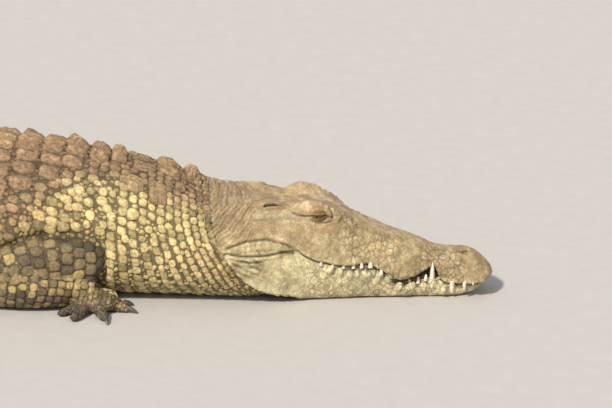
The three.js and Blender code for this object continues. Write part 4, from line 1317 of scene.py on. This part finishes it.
# scales of the legs: length along the limb, width round it, height
LIMB_SCALES = {("fore", "upper"): (27, 25, 3.0), ("fore", "lower"): (18, 18, 2.6),
               ("fore", "palm"): (10, 13, 1.6), ("hind", "upper"): (26, 26, 3.0),
               ("hind", "lower"): (20, 20, 2.8), ("hind", "palm"): (13, 15, 1.8)}
DIGIT_SCALE = (8.0, 11.0, 1.3)
ROOT_STRIPS = 36  # strips of the bake's map, one a limb piece


def limb_row(fr, a, th, half, turn, high, strip):
    """One row of scales round a limb piece: middle, half sizes, height, root in the map and darkness."""
    e, e_turn = 0.0015, 0.05
    along = (limb_point(fr, a + e, th) - limb_point(fr, a - e, th)) / (2 * e)
    along /= np.maximum(np.linalg.norm(along, axis=1), 0.5)[:, None]
    across = (limb_point(fr, a, th + e_turn) - limb_point(fr, a, th - e_turn)) / (2 * e_turn)
    root = np.stack([0.03 + 0.9 * np.clip((a + 0.1) / 0.6, 0, 1),
                     (strip + 0.1 + 0.8 * th / (2 * np.pi) % 1) / ROOT_STRIPS], -1)
    high = np.full(len(th), high)
    return limb_point(fr, a, th), along * half * 1.07, across * turn * 1.07, high, root, 1.0 + (high < 2.0)


strip = 0
for kind in ("fore", "hind"):
    rows = []
    for side, word in SIDES:
        web, pieces, digits, palm = legs[kind, side]
        tubes = [(pieces[part], *LIMB_SCALES[kind, part]) for part in ("upper", "lower", "palm")]
        tubes += [(digit["frame"], *DIGIT_SCALE) for digit in digits]
        for fr, step, wide_step, high in tubes:
            total = fr["length"][-1]
            a = -fr["radii"][0, 0] * 0.55 + step * MM / 2
            k = 0
            while a < total + fr["radii"][-1, 0] * 0.5:
                r = np.interp(np.clip(a, 0, total), fr["length"], fr["radii"].mean(1))
                count = max(int(round(2 * np.pi * r / (wide_step * MM))), 5)
                th = (np.arange(count) + 0.5 * (k % 2)) / count * 2 * np.pi
                th = th + rng.normal(0, 0.05, count) / count * 6
                leaning = a + 0.15 * np.sin(th) * step * MM
                rows.append(limb_row(fr, leaning, th, step * MM / 2, np.pi / count, high, strip))
                a += step * MM
                k += 1
            strip += 1
    rows = [np.concatenate(column) for column in zip(*rows)]
    middle, along, across, height, roots, dark = (q[rows[0][:, 2] > 0.004] for q in rows)
    lay("limb_scales_" + kind, middle, along, across, height, np.full(len(middle), 3.4),
        np.zeros(len(middle)), roots, dark, 0.16, "limb_hide", 0.010)


# armour plates and keels of the back, the nape and the tail
def plate_template(rows=19, columns=17):
    p, q = np.meshgrid(np.linspace(-1, 1, rows), np.linspace(-1, 1, columns), indexing="ij")
    index = np.arange(rows * columns).reshape(rows, columns)
    a, b, c, d = (index[:-1, :-1], index[1:, :-1], index[1:, 1:], index[:-1, 1:])
    faces = np.concatenate([np.stack([a, b, c], -1).reshape(-1, 3), np.stack([a, c, d], -1).reshape(-1, 3)])
    edge = np.concatenate([index[0, :], index[1:, -1], index[-1, -2::-1], index[-2:0:-1, 0]])
    fan = np.stack([np.full(len(edge) - 2, edge[0]), edge[1:-1], edge[2:]], -1)
    return p.ravel(), q.ravel(), np.concatenate([faces, fan])


PLATE_P, PLATE_Q, PLATE_FACES = plate_template()
REAR_EDGE = 2.4  # how much higher a plate stands behind than in front, in millimetres


def plates(name, items):
    """Keeled plates out of items (middle, along, across, dome, keel, peak, sharp, keel's place across, root)."""
    middle, along, across, dome, keel, peak, sharp, offset, roots = (np.array(q) for q in zip(*items))
    dome, keel, peak, sharp, offset = (q[:, None] for q in (dome, keel, peak, sharp, offset))
    n = len(items)
    p, q = PLATE_P[None], PLATE_Q[None]
    corner = 1 - 0.22 * (p * q) ** 2
    wob = 1 + 0.07 * np.sin(3 * p + rng.random((n, 1)) * 6) * np.abs(q)
    wob = wob + 0.06 * np.sin(3 * q + rng.random((n, 1)) * 6)
    flat = (middle[:, None] + along[:, None] * (p * corner * wob)[..., None]
            + across[:, None] * (q * corner * wob)[..., None])
    at, no, away, face = onto_skin(flat)
    outline = np.maximum(np.abs(p), np.abs(q))
    edge = np.clip(1 - outline ** 7, 0, 1)
    spread = np.where(p < peak, (p - peak) / (1 + peak), (p - peak) / (1.02 - peak))
    crest = np.clip(1 - np.abs(spread) ** 2.6, 0, 1)
    beside_keel = (q - offset) / np.where(q > offset, 1 - offset, 1 + offset)
    wavy = 0.10 * np.sin(2.5 * p + rng.random((n, 1)) * 6)
    ridge = keel * crest * np.exp(-np.abs((beside_keel + wavy) / sharp) ** 1.15)
    slope = 0.22 * keel * crest * np.clip(1 - np.abs(beside_keel), 0, 1)
    grain = np.sin(13 * q + 9 * layered(flat + 7, 0.03) + 3 * p)
    pits = (layered(flat, 0.007) - 0.5) * 4.4 + (layered(flat + 9, 0.018) - 0.5) * 5.5 + 0.7 * grain
    lift = dome * edge + ridge + slope + pits * edge + REAR_EDGE * edge * np.clip(0.5 + p / 2, 0, 1) ** 2
    lift = np.where(outline > 0.97, -1.3, lift)
    verts = above_floor(at + no * (lift * MM)[..., None], SCALE_SOLE)
    # painted shade darkening the plate towards its edge and a painted highlight along its keel; the random mottle
    # and grain are the plate's own
    vertex_shade_and_tone = np.where(outline > 0.97, 0.36, np.where(outline > 0.8, 0.74, 0.92))
    vertex_shade_and_tone = vertex_shade_and_tone + 0.22 * ridge / np.maximum(keel, 1)
    vertex_shade_and_tone = vertex_shade_and_tone * (1 + 0.9 * (layered(flat + 3, 0.010) - 0.5)) * (1 + 0.10 * grain)
    scale_tone_and_shade = 1 + rng.normal(0, 0.06, (n, 1))
    take(middle, half_size(along, across))
    coat_object(name, verts, vertex_shade_and_tone, roots, p, q, middle, np.zeros(n), scale_tone_and_shade, "hide", PLATE_FACES, 0.65)


def body_frame(u, s, side):
    """Place and directions back along the body and down its side."""
    u, s = np.atleast_1d(u).astype(float), np.atleast_1d(s).astype(float)
    m = body_surface(u, s, side)
    du = body_surface(u + 4, s, side) - body_surface(u - 4, s, side)
    ds = body_surface(u, s + 4, side) - body_surface(u, s - 4, side)
    du /= np.maximum(np.linalg.norm(du, axis=1), 1e-6)[:, None]
    ds /= np.maximum(np.linalg.norm(ds, axis=1), 1e-6)[:, None]
    return m, du, ds


def body_root(u, s, side):
    """A scale's root in the bake's map, by its place on the body."""
    return np.stack([0.02 + 0.95 * (u + 120) / 3600, 0.5 + side * 0.48 * s / 720], -1)


def plate(u, s, side, length, wide, dome, keel, peak, sharp, at_keel, back_by=0.0, shares=(1.0, 1.0)):
    """One item of plates(), from sizes in millimetres."""
    m, du, ds = body_frame(u + back_by, s, side)
    return (m[0], du[0] * length * shares[0] * MM, ds[0] * wide * shares[1] * MM, dome, keel, peak, sharp,
            at_keel, body_root(u, s, side))


# plates of the nape: u, s, keel's height, half length, half width, keel's place across
NUCHAL = [[182, 24, 12, 28, 23, 0.1], [238, 32, 3, 23, 25, 0.0], [207, 110, 10, 24, 33, 0.5],
          [254, 98, 8, 22, 27, 0.3], [128, 26, 12, 20, 23, 0.0], [160, 72, 6, 14, 17, 0.2]]
COLUMN = 46.0        # about how wide a plate of the back is
COLUMNS_MOST = 4     # plates of a row on either side
KEELS = (10.0, 10.0, 11.5, 11.0)
FIRST_KEEL = 6.0     # how much higher the first rows' plates stand
FRONT_PLATE = (290, 20, 17, 18, 19)
# big round scales of the neck and shoulder: u, s, half size
KNOBS = [[384, 159, 11], [345, 147, 11], [348, 174, 12], [387, 195, 10], [309, 177, 12], [369, 210, 10],
         [348, 222, 10], [315, 213, 10], [375, 123, 9], [411, 174, 8.5], [450, 201, 9.5], [465, 218, 8.5],
         [258, 174, 15], [498, 255, 10], [477, 243, 9], [186, 180, 9.5], [225, 198, 9.5], [237, 222, 8.5],
         [270, 230, 10], [333, 122, 9], [300, 140, 9], [292, 110, 8.5], [326, 96, 9], [412, 138, 9],
         [520, 232, 10], [549, 246, 10], [590, 250, 10], [640, 262, 10], [700, 258, 11], [760, 264, 10],
         [820, 262, 11], [880, 266, 10], [950, 258, 11], [1010, 260, 10], [1080, 250, 11], [1150, 246, 10],
         [1220, 230, 10]]
items = []
for side, word in SIDES:
    for pu, ps, keel, a, b, at_keel in NUCHAL:
        items.append(plate(pu, ps, side, a, b, 3.5, keel, 0.30, 0.30, at_keel))
    pu, ps, keel, a, b = FRONT_PLATE
    items.append(plate(pu, ps, side, a, b, 2.4, keel, 0.35, 0.28, 0.0))
u_row = FIRST_ROW
row_middles = []
while u_row < LAST_ROW:
    length = float(row_length(u_row))
    row_middles.append((u_row, length))
    u_row += length
for mu, length in (row for row in row_middles if row[0] <= VENT):
    count = min(int(float(edge_of(mu)) / COLUMN + 0.6), COLUMNS_MOST)
    wide_row = float(edge_of(mu)) / count
    raised = FIRST_KEEL * float(smoothstep(440, 340, mu))
    for side, word in SIDES:
        for j in range(count):
            back_by = rng.normal(0, 1.5) + (6.0 * j if mu < 420 else 0.0)
            items.append(plate(mu, (j + 0.5) * wide_row, side, length, wide_row, 2.0,
                               (KEELS[j] + raised) * rng.uniform(0.8, 1.2), 0.3, 0.26 + 0.03 * rng.random(),
                               rng.uniform(-0.12, 0.12), back_by, (0.492, 0.485)))
plates("back_plates", items)

ku, ks, size, side = np.array([[ku + side * 2.0, ks + 3.0 * math.sin(ku) * (side > 0), r, side]
                               for side, word in SIDES for ku, ks, r in KNOBS]).T
middle, back, down = body_frame(ku, ks, side)
lay("knobs", middle, back * size[:, None] * MM * 1.05, down * size[:, None] * MM, 0.42 * size,
    np.full(len(size), 2.2), 0.12 * size, body_root(ku, ks, side), 0, 0.06)


def fins(name, items):
    """Upright leaning scutes of the tail's crest: (middle, along, across, up, height, thick, root)."""
    rows, columns = 9, 7
    t = np.linspace(0, 1, rows)[:, None] * np.ones((1, columns))
    w = np.linspace(0, 1, columns)[None] * np.ones((rows, 1))
    top = np.clip(np.minimum(t * 2.4, (1.06 - t) * 5.5), 0, 1) ** 0.7
    thin = (1 - 0.82 * w ** 0.8), np.clip(np.minimum(t, 1 - t) * 5 + 0.25, 0, 1)
    verts = []
    for middle, along, across, upward, height, thick, root in items:
        lean = 0.42 * w * height
        h = -3 + (height + 3) * w * top * (1 + 0.05 * np.sin(9 * t + middle[0] * 50))
        half = thick * thin[0] * thin[1]
        base = (middle + along * ((t - 0.5) * 2)[..., None]
                + along / np.linalg.norm(along) * (lean * MM)[..., None] + upward * (h * MM)[..., None])
        rough = (layered(base, 0.012) - 0.5) * 1.4
        sideward = across * ((half + rough * (half > 0.6)) * MM)[..., None]
        verts.append(np.concatenate([(base + sideward).reshape(-1, 3), (base - sideward).reshape(-1, 3)]))
    index = np.arange(rows * columns).reshape(rows, columns)
    a, b, c, d = (q.ravel() for q in (index[:-1, :-1], index[1:, :-1], index[1:, 1:], index[:-1, 1:]))
    off = rows * columns
    loop = np.concatenate([index[:, 0], index[-1, 1:], index[-2::-1, -1], index[0, -2:0:-1]])
    after = np.roll(loop, -1)
    triangles = ((a, b, c), (a, c, d), (c + off, b + off, a + off), (d + off, c + off, a + off),
                 (loop, loop + off, after + off), (loop, after + off, after))
    faces = np.concatenate([np.stack(q, -1) for q in triangles])
    # painted shade darkening each scute towards its foot
    vertex_shade_and_tone = np.tile((0.62 + 0.38 * np.clip(w * 2.5, 0, 1)).ravel(), 2)
    p, q = np.tile((t * 2 - 1).ravel(), 2)[None], np.concatenate([w.ravel(), -w.ravel()])[None]
    roots, middles = (np.array([i[k] for i in items]) for k in (6, 0))
    n = len(items)
    coat_object(name, np.array(verts), vertex_shade_and_tone, roots, p, q, middles, np.zeros(n),
                1 + rng.normal(0, 0.05, (n, 1)), "hide", faces)


items = []
for mu, length in (row for row in row_middles if row[0] >= VENT - 20):
    spread = 0.42 * float(half_width(mu)) * float(smoothstep(CREST_JOIN, CREST_JOIN - 250, mu))
    for side in ((-1, 1) if spread > 3 else (1,)):
        m, du, ds = body_frame(mu, spread * 1.08, side)
        upward = np.cross(du[0], ds[0])
        upward = upward * np.sign(upward[2]) * 0.35 + np.array([0, 0, 0.65])
        upward /= np.linalg.norm(upward)
        high = float(crest_of(mu)) * (0.92 + 0.08 * math.sin(mu))
        items.append((m[0], du[0] * length * 0.47 * MM, ds[0], upward, high, 2.6 + high * 0.07,
                      body_root(mu, spread, side)))
fins("tail_crest", items)

# scales of the neck, flanks, belly and tail
NECK_END = 330  # up to here the columns of scales lean forward under the jaw
SPREAD = 0.57   # half a scale's size as a share of its row, so that neighbours meet


def rim_shift(uc, s):
    """How far a column of scales leans forward under the jaw."""
    if uc >= NECK_END:
        return 0.0
    outline = GRID_UP[int((max(uc, 60) - GRID_U[0]) / GRID_STEP)]
    x_rim = float(rim_at(np.interp(s / body_length(uc), SHARES, outline)))
    return max(-x_rim - 104, -170) * float(smoothstep(NECK_END, 95, uc))


def region(name, u_from, u_to, length_of, width_of, top_from, side, height_of, keel_of, square_of, tone=0.13):
    """Rows of scales round the body from u_from to u_to. The last functions take u and the share of the way
    down the side."""
    rows = []
    u0, k = u_from, 0
    while u0 < u_to:
        length = length_of(u0)
        uc = u0 + length / 2
        limit = float(body_length(uc))
        s = top_from(uc)
        if k % 2:
            s += width_of(uc, s) / 2
        while s < limit:
            slope = max(min((rim_shift(uc, s + 8) - rim_shift(uc, s - 8)) / 16, 1.1), -1.1)
            w = width_of(uc, s) / math.sqrt(1 + slope * slope)
            rows.append((uc, s + w / 2, length, w, slope, rim_shift(uc, s + w / 2)))
            s += w
        u0 += length
        k += 1
    rows = np.array(rows)
    u, s, length, w, slope, shift = rows[rows[:, 1] < body_length(rows[:, 0]) - 1].T
    u = u + shift + rng.normal(0, 0.035, len(u)) * length
    s = s + rng.normal(0, 0.035, len(u)) * w
    good = (u > BODY_START + 2) & (u < TAIL_END - 30)
    u, s, length, w, slope = (q[good] for q in (u, s, length, w, slope))
    m, du, ds = body_frame(u, s, side)
    stretch = np.sqrt(1 + slope ** 2)
    down = (ds + du * slope[:, None]) / stretch[:, None]
    back = (du - ds * slope[:, None]) / stretch[:, None]
    along = back * (length * SPREAD * MM / stretch)[:, None]
    across = down * (w * SPREAD * MM * stretch)[:, None]
    share = s / body_length(u)
    keel, squareness = keel_of(u, share), square_of(u, share)
    uneven = (1 + rng.normal(0, 0.06, len(u)))[:, None]
    lay(name, m, along * uneven, across * uneven, height_of(u, share), squareness, keel,
        body_root(u, s, side), 0, tone)


neck_length = curve([[60, 14], [100, 15], [200, 18], [330, 23], [500, 26]])
neck_width = curve([[60, 14], [100, 15], [200, 18], [330, 22], [500, 25]])
for side, word in SIDES:
    region("neck_scales_" + word, 95, FIRST_ROW, lambda a: float(neck_length(a)),
           lambda a, s: float(neck_width(a)), lambda a: 0.0, side,
           lambda u, d: 2.3 + 0.9 * smoothstep(150, 330, u) + 0.8 * (rng.random(len(u)) - 0.3),
           lambda u, d: 1.0 * (d < 0.45) * rng.random(len(u)),
           lambda u, d: 2.7 + 1.5 * smoothstep(0.4, 0.65, d))
    region("flank_scales_" + word, FIRST_ROW, VENT, lambda a: float(row_length(a)) / 2 * 0.98,
           lambda a, s: 21 + 8 * float(smoothstep(0.55, 0.8, s / body_length(a))),
           lambda a: float(edge_of(a)) + 1, side,
           lambda u, d: 2.6 + 2.2 * (rng.random(len(u)) - 0.25) * smoothstep(0.62, 0.4, d),
           lambda u, d: 2.2 * smoothstep(0.6, 0.35, d) * (rng.random(len(u)) > 0.45),
           lambda u, d: 2.4 + 1.6 * smoothstep(0.5, 0.7, d))
    region("tail_scales_" + word, VENT, LAST_ROW, lambda a: float(row_length(a)),
           lambda a, s: max(13.0, 34 * float(half_width(a)) / 172), lambda a: 0.0 if a > CREST_JOIN else 4.0,
           side, lambda u, d: np.full(len(u), 2.6), lambda u, d: 3.2 * smoothstep(0.6, 0.3, d),
           lambda u, d: np.full(len(u), 4.2))

# granules fill the skin left bare between the scales
# each granule darker towards its rim, painted shade where it dips into the skin
GRANULE_RHO, GRANULE_ANGLE, GRANULE_LIFT, GRANULE_SHADING, GRANULE_FACES = pad_template(
    7, 0, [(0.62, 0.75, 0.92, 0), (1.0, -0.5, 0.4, 0.2)])
CELL = 0.016  # of the grid used to find a granule's neighbours


def granules(name, zone, limb, tries, sizes, height, apart=0.84):
    """Small round scales at random places of the skin that are still free. zone gives the faces to use."""
    chosen = np.nonzero(zone)[0]
    chosen = rng.choice(chosen, min(tries, len(chosen)), replace=False)
    size = rng.uniform(*sizes, len(chosen)) * MM
    at = FACE_MIDDLE[chosen]
    keep = free_of_others(at, size, apart)
    chosen, size, at = chosen[keep], size[keep], at[keep]
    kept = []
    grid = {}
    for k, (p, r) in enumerate(zip(at.tolist(), size.tolist())):
        cell = tuple(int(math.floor(c / CELL)) for c in p)
        near = [grid.get((cell[0] + a, cell[1] + b, cell[2] + c), ()) for a in (-1, 0, 1) for b in (-1, 0, 1)
                for c in (-1, 0, 1)]
        if all(math.dist(p, q) > 0.9 * (r + w) for group in near for q, w in group):
            kept.append(k)
            grid.setdefault(cell, []).append((p, r))
    chosen, size, at = chosen[kept], size[kept], at[kept]
    take(at, size)
    no = FACE_NORMAL[chosen]
    du = np.cross(no, [0.0, 1.0, 0.0]) + 1e-6
    du /= np.linalg.norm(du, axis=1)[:, None]
    ds = np.cross(no, du)
    u, out, up = unplace(at)
    s = np.clip(np.abs(out) + 200 - up * 0.6, 0, 700)
    n = len(u)
    p, q = (np.broadcast_to(GRANULE_RHO * wave(GRANULE_ANGLE), (n, len(GRANULE_RHO)))
            for wave in (np.cos, np.sin))
    long = rng.uniform(1.0, 1.5, (n, 1))
    flat = (at[:, None] + du[:, None] * (p * size[:, None] * long)[..., None]
            + ds[:, None] * (q * size[:, None])[..., None])
    on, no, away, face = onto_skin(flat)
    verts = above_floor(on + no * (GRANULE_LIFT[None] * height * MM)[..., None], SCALE_SOLE)
    # a darker tone with random spread, times the painted shade of the skin's grooves beneath
    scale_tone_and_shade = ((0.68 if limb else 0.82) + rng.normal(0, 0.12, (n, 1))) * FACE_PAINTED_SHADE[chosen][:, None]
    coat_object(name, verts, GRANULE_SHADING, body_root(u, s, np.sign(out)), p, q, at, np.full(n, float(limb)),
                scale_tone_and_shade, "limb_hide" if limb else "hide", GRANULE_FACES)


face_u, face_out, face_up = unplace(FACE_MIDDLE)
not_head = -face_u < np.interp(face_up, RIM_UP, RIM_AT) - 6
body_zone = ((FACE_LIMB < 0.5) & (face_u < 1750) & not_head & ((face_u > 112) | (face_up < 150))
             & (face_up > 12))
granules("fillers_body", body_zone, 0, 30000, (6.0, 8.4), 2.6, 0.74)
granules("granules_body", body_zone, 0, 42000, (2.4, 6.2), 1.7)
granules("granules_limb", (FACE_LIMB > 0.5) & (face_up > 8), 1, 26000, (2.4, 6.5), 1.6)

# ---------------------------------------------------------------- floor, light and camera
floor = make_object("floor", np.array([[-70, -70, 0], [70, -70, 0], [70, 70, 0], [-70, 70, 0]], float),
                    [[0, 1, 2, 3]], smooth=False)
floor_material, tree, bsdf, coords = new_material("studio_floor")
speck = noise_node(tree, coords, 25, 6)["Fac"]
tree.links.new(blend_node(tree, (0.46, 0.445, 0.42), (0.52, 0.505, 0.48), speck), bsdf.inputs["Base Color"])
bsdf.inputs["Roughness"].default_value = 0.85
floor.data.materials.append(floor_material)

world = bpy.data.worlds.new("studio")
bpy.context.scene.world = world
world.use_nodes = True
world.node_tree.nodes["Background"].inputs["Color"].default_value = (0.93, 0.94, 1.0, 1)
world.node_tree.nodes["Background"].inputs["Strength"].default_value = 0.58
bpy.context.scene.view_settings.view_transform = "Standard"

sun_data = bpy.data.lights.new("key", "SUN")
sun_data.energy = 4.2
sun_data.angle = math.radians(6)
sun_data.color = (1.0, 0.93, 0.82)
sun = link("key", sun_data)
sun.rotation_euler = Vector((0.42, 0.64, -0.68)).to_track_quat("-Z", "Y").to_euler()

CAMERA_AT = (1.4635167, -7.10644723, 2.50622235)
CAMERA_LENS = 200.0
CAMERA_DOWN = math.radians(18.0)
CAMERA_ROLL = math.radians(4.2)
camera_data = bpy.data.cameras.new("camera")
camera_data.lens = CAMERA_LENS
camera_data.sensor_width = 36.0
camera_data.clip_end = 300.0
camera = link("camera", camera_data)
ahead = Vector((0, math.cos(CAMERA_DOWN), -math.sin(CAMERA_DOWN)))
level, rise = Vector((1, 0, 0)), Vector((0, math.sin(CAMERA_DOWN), math.cos(CAMERA_DOWN)))
right = level * math.cos(CAMERA_ROLL) + rise * math.sin(CAMERA_ROLL)
above = rise * math.cos(CAMERA_ROLL) - level * math.sin(CAMERA_ROLL)
camera.matrix_world = Matrix.Translation(CAMERA_AT) @ Matrix((right, above, -ahead)).transposed().to_4x4()
bpy.context.scene.camera = camera
